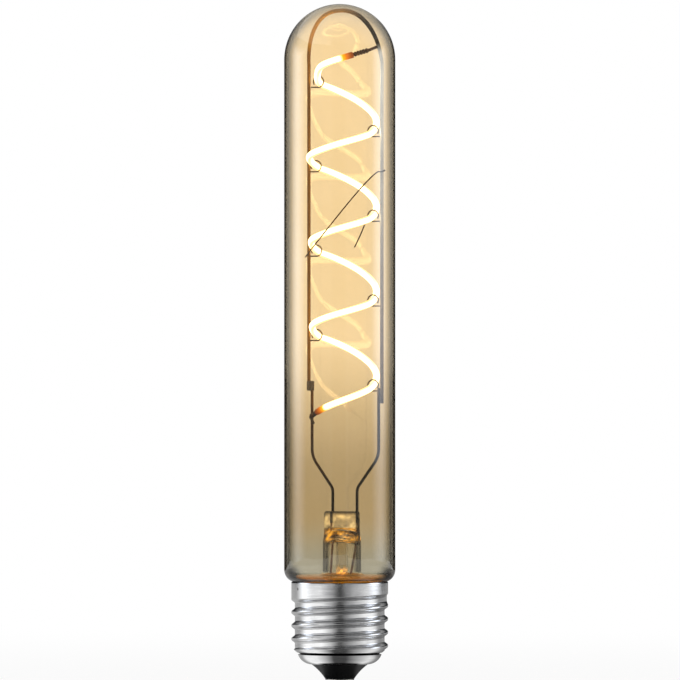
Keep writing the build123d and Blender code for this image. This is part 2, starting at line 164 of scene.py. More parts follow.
def turned(name: str, outline: Sequence[Point], steps: int, closed: bool = False) -> Piece:
    """Turns an outline about the lamp's axis, as on a lathe.

    Args:
        name: Name of the new piece.
        outline: Points of (radius, height) in millimetres.
        steps: Number of steps round the axis.
        closed: Whether the outline comes back to its first point.

    Returns:
        The turned piece, at the origin.
    """
    deselect()
    points = [Vector((radius, 0.0, height)) * MM for radius, height in outline]
    if closed:
        points.append(points[0])
    bpy.ops.mesh.primitive_plane_add(size=MM, location=points[0])
    piece = bpy.context.object
    piece.name = name
    settle(piece)
    bpy.ops.object.mode_set(mode="EDIT")
    bpy.ops.mesh.select_all(action="SELECT")
    bpy.ops.mesh.merge(type="CENTER")
    for start, end in zip(points, points[1:]):
        bpy.ops.mesh.extrude_region_move(TRANSFORM_OT_translate={"value": end - start})
    bpy.ops.mesh.select_all(action="SELECT")
    bpy.ops.mesh.spin(steps=steps, angle=2 * math.pi, center=(0, 0, 0), axis=(0, 0, 1))
    close_seams(piece)
    smooth(piece)
    return piece


def drawn_wire(name: str, path: Sequence[Vector], diameter: float, sides: int = 6,
               swell: Sequence[float] = ()) -> Piece:
    """Draws a round wire along a path.

    Args:
        name: Name of the new piece.
        path: Points of the wire's centre line in millimetres.
        diameter: Thickness of the wire in millimetres.
        sides: Bevel steps of a half section.
        swell: Share of the thickness at each point, where it changes.

    Returns:
        The wire as a closed mesh, at the origin.
    """
    deselect()
    bpy.ops.curve.primitive_nurbs_path_add()
    piece = bpy.context.object
    piece.name = name
    line = piece.data
    line.splines.clear()
    run = line.splines.new("POLY")
    run.points.add(len(path) - 1)
    for spot, point in zip(run.points, path):
        spot.co = (*(point * MM), 1.0)
    for spot, share in zip(run.points, swell):
        spot.radius = share
    line.dimensions = "3D"
    line.bevel_depth = diameter / 2 * MM
    line.bevel_resolution = sides
    line.use_fill_caps = True
    make_active(piece)
    bpy.ops.object.convert(target="MESH")
    piece = bpy.context.object
    close_seams(piece)
    smooth(piece, WIRE_SHARP_ANGLE)
    return piece


def joined(name: str, pieces: Sequence[Piece]) -> Piece:
    """Joins pieces of one part into one object.

    Args:
        name: Name of the joined piece.
        pieces: The pieces, of which the first takes up the others.

    Returns:
        The joined piece.
    """
    make_active(pieces[0])
    for piece in pieces[1:]:
        piece.select_set(True)
    bpy.ops.object.join()
    pieces[0].name = name
    return pieces[0]


def arc(centre: Point, radius: float, start: float, end: float, steps: int) -> list[Point]:
    """Points along an arc.

    Args:
        centre: Centre of the arc as (radius, height) in millimetres.
        radius: Radius of the arc in millimetres.
        start: Angle of the first point in degrees.
        end: Angle of the last point in degrees.
        steps: Number of equal steps.

    Returns:
        The points, both ends included.
    """
    angles = [math.radians(start + (end - start) * step / steps) for step in range(steps + 1)]
    return [(centre[0] + radius * math.cos(angle), centre[1] + radius * math.sin(angle)) for angle in angles]


def rounded(corners: Sequence[Vector], radii: Sequence[float], steps: int = 12) -> list[Vector]:
    """Path through corners, each turned on an arc.

    Args:
        corners: Corner points in millimetres.
        radii: Radius of each bend in millimetres.
        steps: Steps of each arc.

    Returns:
        Points of the path.
    """
    path = [corners[0].copy()]
    for before, corner, after, radius in zip(corners, corners[1:], corners[2:], radii):
        back = (before - corner).normalized()
        onward = (after - corner).normalized()
        half = back.angle(onward) / 2
        reach = radius / math.tan(half)
        middle = corner + (back + onward).normalized() * (radius / math.sin(half))
        first = corner + back * reach - middle
        last = corner + onward * reach - middle
        for step in range(steps + 1):
            path.append(middle + first.slerp(last, step / steps).normalized() * radius)
    path.append(corners[-1].copy())
    return path


def eased(share: float) -> float:
    """Holds a share between 0 and 1 and eases both its ends."""
    share = min(max(share, 0.0), 1.0)
    return share * share * (3.0 - 2.0 * share)


# Shader nodes


def scaled(parts: Sequence[float], share: float) -> tuple[float, ...]:
    """Multiplies each part of a colour, a place or a span."""
    return tuple(part * share for part in parts)


class NodeDesk:
    """Adds and links nodes in one node tree."""

    def __init__(self, tree: bpy.types.NodeTree) -> None:
        """Keeps the tree that the nodes go into."""
        self.tree = tree

    def feed(self, target: Socket, value: object) -> None:
        """Links a socket to another one, or sets a plain number, place or colour on it.

        Args:
            target: The socket that is fed.
            value: Another socket or a plain value.
        """
        if isinstance(value, Socket):
            self.tree.links.new(value, target)
        else:
            target.default_value = (*value, 1.0) if target.type == "RGBA" else value

    def wire(self, node: Node, **values: object) -> None:
        """Feeds a node's inputs by name, where an underscore stands for a space."""
        for name, value in values.items():
            self.feed(node.inputs[name.replace("_", " ")], value)

    def add(self, kind: str, *inputs: object, **values: object) -> Node:
        """Adds a node, sets its properties and feeds its inputs in their order.

        Args:
            kind: Blender's name for the kind of node.
            inputs: Sockets or plain values, None where an input stays as it is.
            values: Properties with their values.

        Returns:
            The node.
        """
        node = self.tree.nodes.new(kind)
        for name, value in values.items():
            setattr(node, name, value)
        for target, value in zip(node.inputs, inputs):
            if value is not None:
                self.feed(target, value)
        return node

    def math(self, operation: str, first: object, second: object = None, clamp: bool = False) -> Socket:
        """Adds a math node, of which each input is a socket or a number."""
        node = self.add("ShaderNodeMath", first, second, operation=operation, use_clamp=clamp)
        return node.outputs[0]

    def times(self, first: object, second: object) -> Socket:
        """Multiplies two values."""
        return self.math("MULTIPLY", first, second)

    def plus(self, first: object, second: object) -> Socket:
        """Adds two values."""
        return self.math("ADD", first, second)

    def minus(self, first: object, second: object) -> Socket:
        """Takes the second value from the first."""
        return self.math("SUBTRACT", first, second)

    def inverse(self, mask: Socket) -> Socket:
        """Turns a mask round."""
        return self.minus(1.0, mask)

    def span(self, value: Socket, low: object, high: object) -> Socket:
        """Smooth step of a value from 0 at low to 1 at high."""
        node = self.add("ShaderNodeMapRange", value, low, high, interpolation_type="SMOOTHSTEP")
        return node.outputs["Result"]

    def blend(self, mask: object, first: object, second: object, kind: str = "MIX") -> Socket:
        """Mixes two colours.

        Args:
            mask: Share of the second colour.
            first: First colour, as a socket or plain.
            second: Second colour, as a socket or plain.
            kind: How the colours are mixed.

        Returns:
            The mixed colour.
        """
        node = self.add("ShaderNodeMix", data_type="RGBA", blend_type=kind)
        for number, value in ((0, mask), (6, first), (7, second)):
            self.feed(node.inputs[number], value)
        return node.outputs[2]

    def object_place(self) -> Socket:
        """Place on the piece, in metres."""
        return self.add("ShaderNodeTexCoord").outputs["Object"]

    def attribute(self, name: str) -> Socket:
        """Value that the points of a piece hold under a name."""
        return self.add("ShaderNodeAttribute", attribute_name=name).outputs["Fac"]

    def split(self, place: Socket) -> Sequence[Socket]:
        """Splits a place into X, Y and Z."""
        return self.add("ShaderNodeSeparateXYZ", place).outputs

    def length(self, place: Socket) -> Socket:
        """Distance of a place from the origin."""
        return self.add("ShaderNodeVectorMath", place, operation="LENGTH").outputs["Value"]

    def noise(self, place: Socket, scale: object, detail: float = 2.0) -> Socket:
        """Value of a noise pattern with a number of finer layers."""
        return self.add("ShaderNodeTexNoise", place, None, scale, detail).outputs["Fac"]

    def bump(self, shader: Node, height: Socket, strength: float, depth: float) -> None:
        """Bumps a shader's normal by a height.

        Args:
            shader: The shader.
            height: Height over the surface.
            strength: Share of the bump.
            depth: Depth of the bump in millimetres.
        """
        node = self.add("ShaderNodeBump")
        self.wire(node, Strength=strength, Distance=depth * MM, Height=height)
        self.wire(shader, Normal=node.outputs["Normal"])

    def placed(self, group: bpy.types.NodeTree, **values: float) -> Node:
        """Places a shared group with its own values.

        Args:
            group: The shared group.
            values: Values of the group's inputs.

        Returns:
            The group's node.
        """
        node = self.add("ShaderNodeGroup", node_tree=group)
        self.wire(node, **values)
        return node

    def mottle(self, size: float) -> Socket:
        """Mask of soft patches."""
        return self.placed(GRAIN, Patch=size).outputs["Mottle"]

    def band(self, low: float, low_soft: float, high: float, high_soft: float) -> Socket:
        """Mask of a stretch of height, with its levels and its soft ends in millimetres."""
        ends = {"Low": low, "Low_Soft": low_soft, "High": high, "High_Soft": high_soft}
        return self.placed(BAND, **{name: size * MM for name, size in ends.items()}).outputs["Band"]

    def above(self, level: float, soft: float) -> Socket:
        """Mask of all that lies above a level, soft below it."""
        return self.band(level, soft, FAR_ABOVE, soft)

    def below(self, level: float, soft: float) -> Socket:
        """Mask of all that lies below a level, soft above it."""
        return self.band(0.0, soft, level, soft)


# Shader node groups that several finishes share


def new_group(name: str, inputs: dict[str, float],
              outputs: Sequence[str]) -> tuple[bpy.types.NodeTree, NodeDesk, Node, Node]:
    """Starts a shader node group with float sockets.

    Args:
        name: Name of the group.
        inputs: Input names with their default values.
        outputs: Output names.

    Returns:
        The group, a desk for its nodes, its input node and its output node.
    """
    group = bpy.data.node_groups.new(name, "ShaderNodeTree")
    for label, value in inputs.items():
        socket = group.interface.new_socket(label, in_out="INPUT", socket_type="NodeSocketFloat")
        socket.default_value = value
    for label in outputs:
        group.interface.new_socket(label, in_out="OUTPUT", socket_type="NodeSocketFloat")
    desk = NodeDesk(group)
    return group, desk, desk.add("NodeGroupInput"), desk.add("NodeGroupOutput")


def drawing_marks() -> bpy.types.NodeTree:
    """Builds the group of fine marks that rolling or drawing leaves on metal.

    Returns:
        Group with a mask of fine streaks, a mask of cloudy patches and a height for bump.
    """
    group, desk, ins, outs = new_group(
        "drawing_marks", {"Across": 900.0, "Along": 60.0, "Cloud": 90.0}, ("Streak", "Patch", "Height"))
    place = desk.object_place()
    scales = [ins.outputs[name] for name in ("Along", "Along", "Across")]
    stretched = [desk.times(part, scale) for part, scale in zip(desk.split(place), scales)]
    stretch = desk.add("ShaderNodeCombineXYZ", *stretched)
    streak = desk.noise(stretch.outputs[0], 1.0, STREAK_DETAIL)
    cloud = desk.noise(place, ins.outputs["Cloud"], PATCH_DETAIL)
    desk.wire(
        outs, Streak=desk.span(streak, *STREAK_SPAN), Patch=desk.span(cloud, *PATCH_SPAN), Height=streak)
    return group


def height_band() -> bpy.types.NodeTree:
    """Builds the group that fades a mask in and out along the lamp's height.

    Returns:
        Group with a mask that is 1 between two levels and 0 beyond their soft ends.
    """
    group, desk, ins, outs = new_group(
        "height_band", {"Low": 0.0, "Low Soft": 0.01, "High": 0.1, "High Soft": 0.01}, ("Band",))
    _, _, level = desk.split(desk.object_place())
    low, high = ins.outputs["Low"], ins.outputs["High"]
    rise = desk.span(level, desk.minus(low, ins.outputs["Low Soft"]), low)
    fall = desk.span(level, high, desk.plus(high, ins.outputs["High Soft"]))
    desk.wire(outs, Band=desk.times(rise, desk.inverse(fall)))
    return group


def fine_grain() -> bpy.types.NodeTree:
    """Builds the group of soft patches and fine grain.

    Returns:
        Group with a soft patch mask and a fine height for bump.
    """
    group, desk, ins, outs = new_group("fine_grain", {"Grain": 2500.0, "Patch": 180.0}, ("Mottle", "Height"))
    place = desk.object_place()
    patches, grain = (desk.noise(place, ins.outputs[name]) for name in ("Patch", "Grain"))
    desk.wire(outs, Mottle=desk.span(patches, *MOTTLE_SPAN), Height=grain)
    return group


MARKS = drawing_marks()
BAND = height_band()
GRAIN = fine_grain()


def new_material(name: str) -> tuple[Material, NodeDesk, Node]:
    """Starts a material.

    Args:
        name: Name of the material.

    Returns:
        The material, a desk for its nodes and its Principled shader.
    """
    material = bpy.data.materials.new(name)
    material.use_nodes = True
    desk = NodeDesk(material.node_tree)
    return material, desk, material.node_tree.nodes["Principled BSDF"]


# Finishes


@dataclass(frozen=True)
class GlowBand:
    """Painted glow in a stretch of the glass, which stands in for the lit filament's light scattered there;
    its glints are painted too.
    """

    colour: Colour
    strength: float
    low: float
    low_soft: float
    high: float
    high_soft: float
    glint: float = 0.0
    glint_contrast: float = 2.2

    def make(self, desk: NodeDesk, mask: Optional[Socket] = None) -> Socket:
        """Adds the band's nodes.

        Args:
            desk: Desk of the material.
            mask: Mask that limits the glow further.

        Returns:
            The glow's colour.
        """
        share = desk.band(self.low, self.low_soft, self.high, self.high_soft)
        if mask is not None:
            share = desk.times(share, mask)
        if self.glint > 0:
            sparkle = desk.math("POWER", desk.mottle(self.glint), self.glint_contrast)
            share = desk.times(share, sparkle)
        return desk.blend(share, BLACK, scaled(self.colour, self.strength))


@dataclass(frozen=True)
class PaintedShadeSwirls:
    """Painted shade in swirls over a stretch of melted glass, which stands in for the dark that the glass
    refracts there.
    """

    low: float
    high: float
    size: float
    soft: float = 0.8
    tint: Colour = (0.03, 0.012, 0.002)

    def make(self, desk: NodeDesk, tint: Socket) -> Socket:
        """Darkens the glass in swirls of painted shade.

        Args:
            desk: Desk of the material.
            tint: Tint of the clear glass.

        Returns:
            The tint with its swirls.
        """
        swirl_share = desk.inverse(desk.mottle(self.size))
        swirl_band = desk.band(self.low, self.soft, self.high, self.soft)
        return desk.blend(desk.times(swirl_band, swirl_share), tint, self.tint)


@dataclass(frozen=True)
class GlassFinish:
    """Tinted or clear blown glass, with painted shade where it is seen at a slant and painted glow that
    stands in for the lit filament's light in it.
    """

    name: str
    tint: Colour
    deep_tint: Colour
    edge_shade: Colour
    edge: Span = (0.35, 0.85)
    edge_from: float = 0.0
    edge_from_soft: float = 1.0
    rim: Span = (0.50, 0.72)
    rim_relief: float = 0.0
    relief_level: float = 94.0
    relief_soft: float = 12.0
    outline_attribute: str = ""
    foot_tint: Optional[Colour] = None
    foot_level: float = 0.0
    foot_soft: float = 0.6
    foot_edge: float = 0.0
    foot_edge_soft: float = 2.5
    foot_curl: Span = (0.24, 0.52)
    dome_level: float = 0.0
    dome_soft: float = 5.0
    dome_ease: float = 0.35
    painted_swirls: Optional[PaintedShadeSwirls] = None
    cloud: float = 45.0
    ior: float = 1.5
    glows: tuple[GlowBand, ...] = ()
    side_glows: tuple[GlowBand, ...] = ()
    side: Span = (0.04, 0.45)
    far_wall_only: bool = False
    near_wall_passes: float = 1.5

    def make_tint(self, desk: NodeDesk) -> Socket:
        """Makes the tint of glass that is seen straight on.

        Args:
            desk: Desk of the material.

        Returns:
            The tint.
        """
        tint = desk.blend(desk.mottle(self.cloud), self.tint, self.deep_tint)
        if self.foot_tint is not None:
            tint = desk.blend(desk.below(self.foot_level, self.foot_soft), tint, self.foot_tint)
        return tint if self.painted_swirls is None else self.painted_swirls.make(desk, tint)

    def upright_facing(self, desk: NodeDesk) -> Socket:
        """Slant of an upright tube at the same place, without the shoulder's curve.

        Args:
            desk: Desk of the material.

        Returns:
            The slant.
        """
        level = desk.add("ShaderNodeVectorMath", desk.object_place(), (1.0, 1.0, 0.0), operation="MULTIPLY")
        outward = desk.add("ShaderNodeVectorMath", level.outputs["Vector"], operation="NORMALIZE")
        return desk.add("ShaderNodeLayerWeight", None, outward.outputs["Vector"]).outputs["Facing"]

    def make_edge_shade(self, desk: NodeDesk, facing: Socket) -> Socket:
        """Makes the mask of painted shade on glass that is seen at a slant, which stands in for the dark
        edges of the glass.

        Args:
            desk: Desk of the material.
            facing: Slant of the surface.

        Returns:
            The mask.
        """
        slanted = desk.span(facing, *self.edge)
        if self.rim_relief > 0:
            relief = desk.times(desk.above(self.relief_level, self.relief_soft), self.rim_relief)
            rim = desk.times(desk.span(facing, *self.rim), desk.inverse(relief))
            slanted = desk.math("MAXIMUM", slanted, rim)
        if self.dome_level > 0:
            dome = desk.above(self.dome_level + self.dome_soft, self.dome_soft)
            slanted = desk.times(slanted, desk.inverse(desk.times(dome, self.dome_ease)))
        # Below the foot level the painted shade follows the slant of an upright tube, so the shoulder's sides
        # darken.
        if self.foot_edge > 0:
            foot = desk.below(self.foot_edge, self.foot_edge_soft)
            curl = desk.span(self.upright_facing(desk), *self.foot_curl)
            slanted = desk.plus(desk.times(slanted, desk.inverse(foot)), desk.times(curl, foot))
        if self.edge_from > 0:
            slanted = desk.times(slanted, desk.above(self.edge_from, self.edge_from_soft))
        # Painted shade: a dark outline along the pinch's edges, stored on the piece's points.
        if self.outline_attribute:
            slanted = desk.math("MAXIMUM", slanted, desk.attribute(self.outline_attribute))
        return slanted

    def make_glow(self, desk: NodeDesk, facing: Socket) -> Optional[Socket]:
        """Makes the painted glow in the glass.

        Args:
            desk: Desk of the material.
            facing: Slant of the surface.

        Returns:
            The glow's colour, where the glass has a glow.
        """
        middle: Optional[Socket] = None
        sides: Optional[Socket] = None
        if self.far_wall_only:
            path = desk.add("ShaderNodeLightPath")
            far = desk.math("GREATER_THAN", path.outputs["Transmission Depth"], self.near_wall_passes)
            sides = desk.times(far, desk.span(facing, *self.side))
            middle = desk.minus(far, sides)
        lit: Optional[Socket] = None
        for glows, share in ((self.glows, middle), (self.side_glows, sides)):
            for glow in glows:
                colour = glow.make(desk, share)
                lit = colour if lit is None else desk.blend(1.0, lit, colour, "ADD")
        return lit

    def make(self) -> Material:
        """Makes the material; painted shade darkens its tint where the glass is seen at a slant.

        Returns:
            The material.
        """
        material, desk, shader = new_material(self.name)
        facing = desk.add("ShaderNodeLayerWeight").outputs["Facing"]
        # Painted shade: the tint turns towards the edge shade where the glass is seen at a slant.
        tint = desk.blend(self.make_edge_shade(desk, facing), self.make_tint(desk), self.edge_shade)
        desk.wire(shader, Base_Color=tint, Transmission_Weight=1.0, Roughness=0.0, IOR=self.ior)
        lit = self.make_glow(desk, facing)
        if lit is not None:
            desk.wire(shader, Emission_Color=lit, Emission_Strength=1.0)
            material.cycles.emission_sampling = "NONE"
        return material


@dataclass(frozen=True)
class MetalFinish:
    """Rolled sheet or drawn wire."""

    name: str
    base: Colour
    worn: Colour
    roughness: float = 0.25
    roughness_spread: float = 0.12
    across: float = 900.0
    along: float = 60.0
    bump: float = 0.02
    bump_depth: float = 0.1
    crease: Optional[Span] = None
    crease_shade_soft: float = 0.1
    crease_shade: Colour = (0.012, 0.012, 0.012)
    weld_spot: Optional[Place] = None
    weld_radius: float = 0.5
    weld_core: float = 0.3
    weld_tint: Colour = (0.16, 0.15, 0.14)

    def make_weld(self, desk: NodeDesk, colour: Socket) -> Socket:
        """Darkens the spot that a weld leaves.

        Args:
            desk: Desk of the material.
            colour: Colour of the metal round the spot.

        Returns:
            The colour with its spot.
        """
        spot = scaled(self.weld_spot, MM)
        apart = desk.add("ShaderNodeVectorMath", desk.object_place(), spot, operation="DISTANCE")
        radius = self.weld_radius * MM
        mark = desk.inverse(desk.span(apart.outputs["Value"], self.weld_core * radius, radius))
        return desk.blend(mark, colour, self.weld_tint)

    def make(self) -> Material:
        """Makes the material with drawing marks in its colour, gloss and bump.

        Returns:
            The material.
        """
        material, desk, shader = new_material(self.name)
        marks = desk.placed(MARKS, Across=self.across, Along=self.along)
        mask = desk.times(marks.outputs["Streak"], marks.outputs["Patch"])
        colour = desk.blend(mask, self.base, self.worn)
        # Painted shade: the band of the crease under the thread is darkened.
        if self.crease is not None:
            low, high = self.crease
            crease_shade_mask = desk.band(low, self.crease_shade_soft, high, self.crease_shade_soft)
            colour = desk.blend(crease_shade_mask, colour, self.crease_shade)
        if self.weld_spot is not None:
            colour = self.make_weld(desk, colour)
        uneven = desk.times(marks.outputs["Patch"], self.roughness_spread)
        desk.wire(shader, Metallic=1.0, Base_Color=colour, Roughness=desk.plus(uneven, self.roughness))
        desk.bump(shader, marks.outputs["Height"], self.bump, self.bump_depth)
        return material


@dataclass(frozen=True)
class WireTintAndShadeFinish:
    """Nickel wire painted as lit and shaded copies of itself: bright and bluish on the right, brown on the
    left with orange over the arch, and darker towards the stem.
    """

    name: str
    bright: Colour
    brown: Colour
    dark: Colour
    arch_left: Colour = (0.52, 0.28, 0.05)
    arch_right: Colour = (0.012, 0.008, 0.005)
    bright_low: Colour = (0.15, 0.13, 0.12)
    dark_left: Colour = (0.07, 0.032, 0.006)
    split: float = 3.0
    split_soft: float = 4.0
    arch: Span = (171.5, 174.5)
    lower_fade: Span = (92.0, 168.0)
    rise: Span = (72.0, 88.0)
    foot: Span = (50.0, 62.0)
    across: float = 300.0
    along: float = 900.0
    stain: float = 0.3
    roughness: float = 0.3
    roughness_spread: float = 0.12

    def make(self) -> Material:
        """Makes the material with its colour changing across the frame and along its height.

        Returns:
            The material.
        """
        material, desk, shader = new_material(self.name)
        across, _, level = desk.split(desk.object_place())
        split, soft = self.split * MM, self.split_soft * MM
        to_right = desk.span(across, split - soft, split + soft)
        rise, arch, lower_fade, foot = (
            desk.span(level, *scaled(ends, MM))
            for ends in (self.rise, self.arch, self.lower_fade, self.foot))
        # Painted light and shade: the right side bright, the left brown, the arch orange on its left and dark
        # on its right.
        legs = desk.blend(to_right, self.brown, desk.blend(lower_fade, self.bright_low, self.bright))
        bow = desk.blend(to_right, self.arch_left, self.arch_right)
        leads = desk.blend(to_right, desk.blend(foot, self.dark, self.dark_left), self.dark)
        tinted = desk.blend(rise, leads, desk.blend(arch, legs, bow))
        marks = desk.placed(MARKS, Across=self.across, Along=self.along)
        stain = desk.times(marks.outputs["Patch"], self.stain)
        colour = desk.blend(stain, tinted, self.dark)
        uneven = desk.times(marks.outputs["Streak"], self.roughness_spread)
        desk.wire(shader, Metallic=1.0, Base_Color=colour, Roughness=desk.plus(uneven, self.roughness))
        return material


@dataclass(frozen=True)
class MouldedFinish:
    """Moulded plastic, dark glass, lacquer or cement."""

    name: str
    base: Colour
    mottle: Colour
    roughness: float = 0.5
    coat: float = 0.0
    coat_roughness: float = 0.08
    grain: float = 2500.0
    bump: float = 0.15
    bump_depth: float = 0.05
    gloss: float = 0.5

    def make(self) -> Material:
        """Makes the material with soft mottling and a fine grain.

        Returns:
            The material.
        """
        material, desk, shader = new_material(self.name)
        grain = desk.placed(GRAIN, Grain=self.grain)
        colour = desk.blend(grain.outputs["Mottle"], self.base, self.mottle)
        desk.wire(
            shader, Base_Color=colour, Roughness=self.roughness, Coat_Weight=self.coat,
            Coat_Roughness=self.coat_roughness, Specular_IOR_Level=self.gloss)
        desk.bump(shader, grain.outputs["Height"], self.bump, self.bump_depth)
        return material


@dataclass(frozen=True)
class FilamentFinish:
    """Lit filament coat: white along its length, amber, orange and dark where its ends cool."""

    name: str
    coat: Colour = (1.0, 0.80, 0.42)
    end_coat: Colour = (0.20, 0.06, 0.008)
    lit: Colour = (1.0, 0.86, 0.60)
    lit_rim: Colour = (0.42, 0.28, 0.10)
    amber: Colour = (0.30, 0.15, 0.004)
    orange: Colour = (0.17, 0.045, 0.0005)
    dark: Colour = (0.03, 0.005, 0.0)
    to_orange: Span = (0.8, 2.1)
    to_amber: Span = (1.9, 3.0)
    to_lit: Span = (2.9, 4.1)
    rim: Span = (0.55, 1.0)
    strength: float = 6.5
    roughness: float = 0.5
    gloss: float = 0.1
    end_attribute: str = "from_end"
    edge_attribute: str = "strip_edge"

    def make(self) -> Material:
        """Makes the material from the two values that the filament's points hold.

        Returns:
            The material.
        """
        material, desk, shader = new_material(self.name)
        distance, edge = desk.attribute(self.end_attribute), desk.attribute(self.edge_attribute)
        warm = desk.span(distance, *self.to_lit)
        ends = desk.blend(desk.span(distance, *self.to_orange), self.dark, self.orange)
        ends = desk.blend(desk.span(distance, *self.to_amber), ends, self.amber)
        face = desk.blend(desk.span(edge, *self.rim), self.lit, self.lit_rim)
        desk.wire(
            shader, Base_Color=desk.blend(warm, self.end_coat, self.coat), Roughness=self.roughness,
            Specular_IOR_Level=self.gloss, Emission_Color=desk.blend(warm, ends, face),
            Emission_Strength=self.strength)
        return material


# Sub-assemblies of the lamp


def dress(piece: Piece, material: Material) -> None:
    """Gives a piece its finish."""
    piece.data.materials.clear()
    piece.data.materials.append(material)


def hand_over(piece: Piece, node: str, material: Material) -> None:
    """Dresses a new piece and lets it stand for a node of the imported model.

    Args:
        piece: The finished piece.
        node: The node that it stands for.
        material: The piece's finish.
    """
    dress(piece, material)
    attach(piece, "root")
    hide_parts(node)
    log.info("piece %s stands for %s, %d faces", piece.name, node, len(piece.data.polygons))


@dataclass
class MountPlace:
    """Where the wire frame and the stem stand in the tube."""

    turn: float = 24.0
    offset: float = 1.4
    stem_offset: float = 0.6

    def matrix(self, offset: float) -> Matrix:
        """Place of something that is turned with the mount at an offset."""
        return Matrix.Translation((offset * MM, 0, 0)) @ Matrix.Rotation(-math.radians(self.turn), 4, "Z")

    @property
    def wires(self) -> Matrix:
        """Place of the wire frame and the filament."""
        return self.matrix(self.offset)

    @property
    def stem(self) -> Matrix:
        """Place of the stem and the exhaust tube."""
        return self.matrix(self.stem_offset)


@dataclass
class GlassTube:
    """The blown glass envelope."""

    radius: float = 15.1
    wall: float = 0.8
    top: float = 185.0
    neck_radius: float = 12.4
    neck_bottom: float = 26.0
    shoulder_radius: float = 3.3
    shoulder_angle: float = 66.0
    rim_level: float = 28.05
    rim_bore: float = 12.8
    dome_steps: int = 30
    side_steps: int = 24
    shoulder_steps: int = 14
    steps: int = 192

    def skin(self, inset: float) -> list[Point]:
        """Outline of one skin of the glass from the dome's top to the neck's foot.

        Args:
            inset: Distance inside the outer skin in millimetres.

        Returns:
            Points of (radius, height).
        """
        slope = math.radians(self.shoulder_angle)
        centre = self.radius - self.shoulder_radius
        reach = centre + self.shoulder_radius * math.cos(slope)
        foot = self.rim_level + (reach - self.rim_bore) / math.tan(slope)
        shoulder_top = foot + self.shoulder_radius * math.sin(slope)
        radius = self.radius - inset
        bend = self.shoulder_radius - inset
        neck = self.neck_radius - inset
        dome_centre = self.top - self.radius
        dome = arc((0.0, dome_centre), radius, 90.0, 0.0, self.dome_steps)
        dome[0] = (0.0, dome_centre + radius)
        fall = shoulder_top - dome_centre
        side = [(radius, dome_centre + fall * step / self.side_steps) for step in range(1, self.side_steps)]
        shoulder = arc((centre, shoulder_top), bend, 0.0, -self.shoulder_angle, self.shoulder_steps)
        foot_radius, foot_height = shoulder[-1]
        neck_height = foot_height - (foot_radius - neck) / math.tan(slope)
        return dome + side + shoulder + [(neck, neck_height), (neck, self.neck_bottom)]

    def build(self) -> None:
        """Builds the tube with its two skins and dresses it."""
        outline = self.skin(0.0) + self.skin(self.wall)[::-1]
        piece = turned("amber_glass_tube", outline, self.steps)
        # Painted glow on the far wall, warm in the middle and bluish at the sides, stands in for the
        # filament's light in the glass.
        lit_part = {"low": 98.0, "low_soft": 44.0, "high": 186.0, "high_soft": 2.0}
        finish = GlassFinish(
            "amber_tube_glass", tint=(0.67, 0.56, 0.38), deep_tint=(0.65, 0.54, 0.355),
            edge_shade=(0.004, 0.003, 0.002), edge=(0.33, 0.80), rim_relief=0.28, far_wall_only=True,
            foot_tint=(0.60, 0.57, 0.47), foot_level=31.0, foot_soft=16.0, foot_edge=30.5, dome_level=179.0,
            glows=(GlowBand((1.0, 0.92, 0.82), 0.43, **lit_part),),
            side_glows=(GlowBand((0.72, 0.80, 1.0), 0.48, **lit_part),))
        hand_over(piece, "glass_envelope", finish.make())


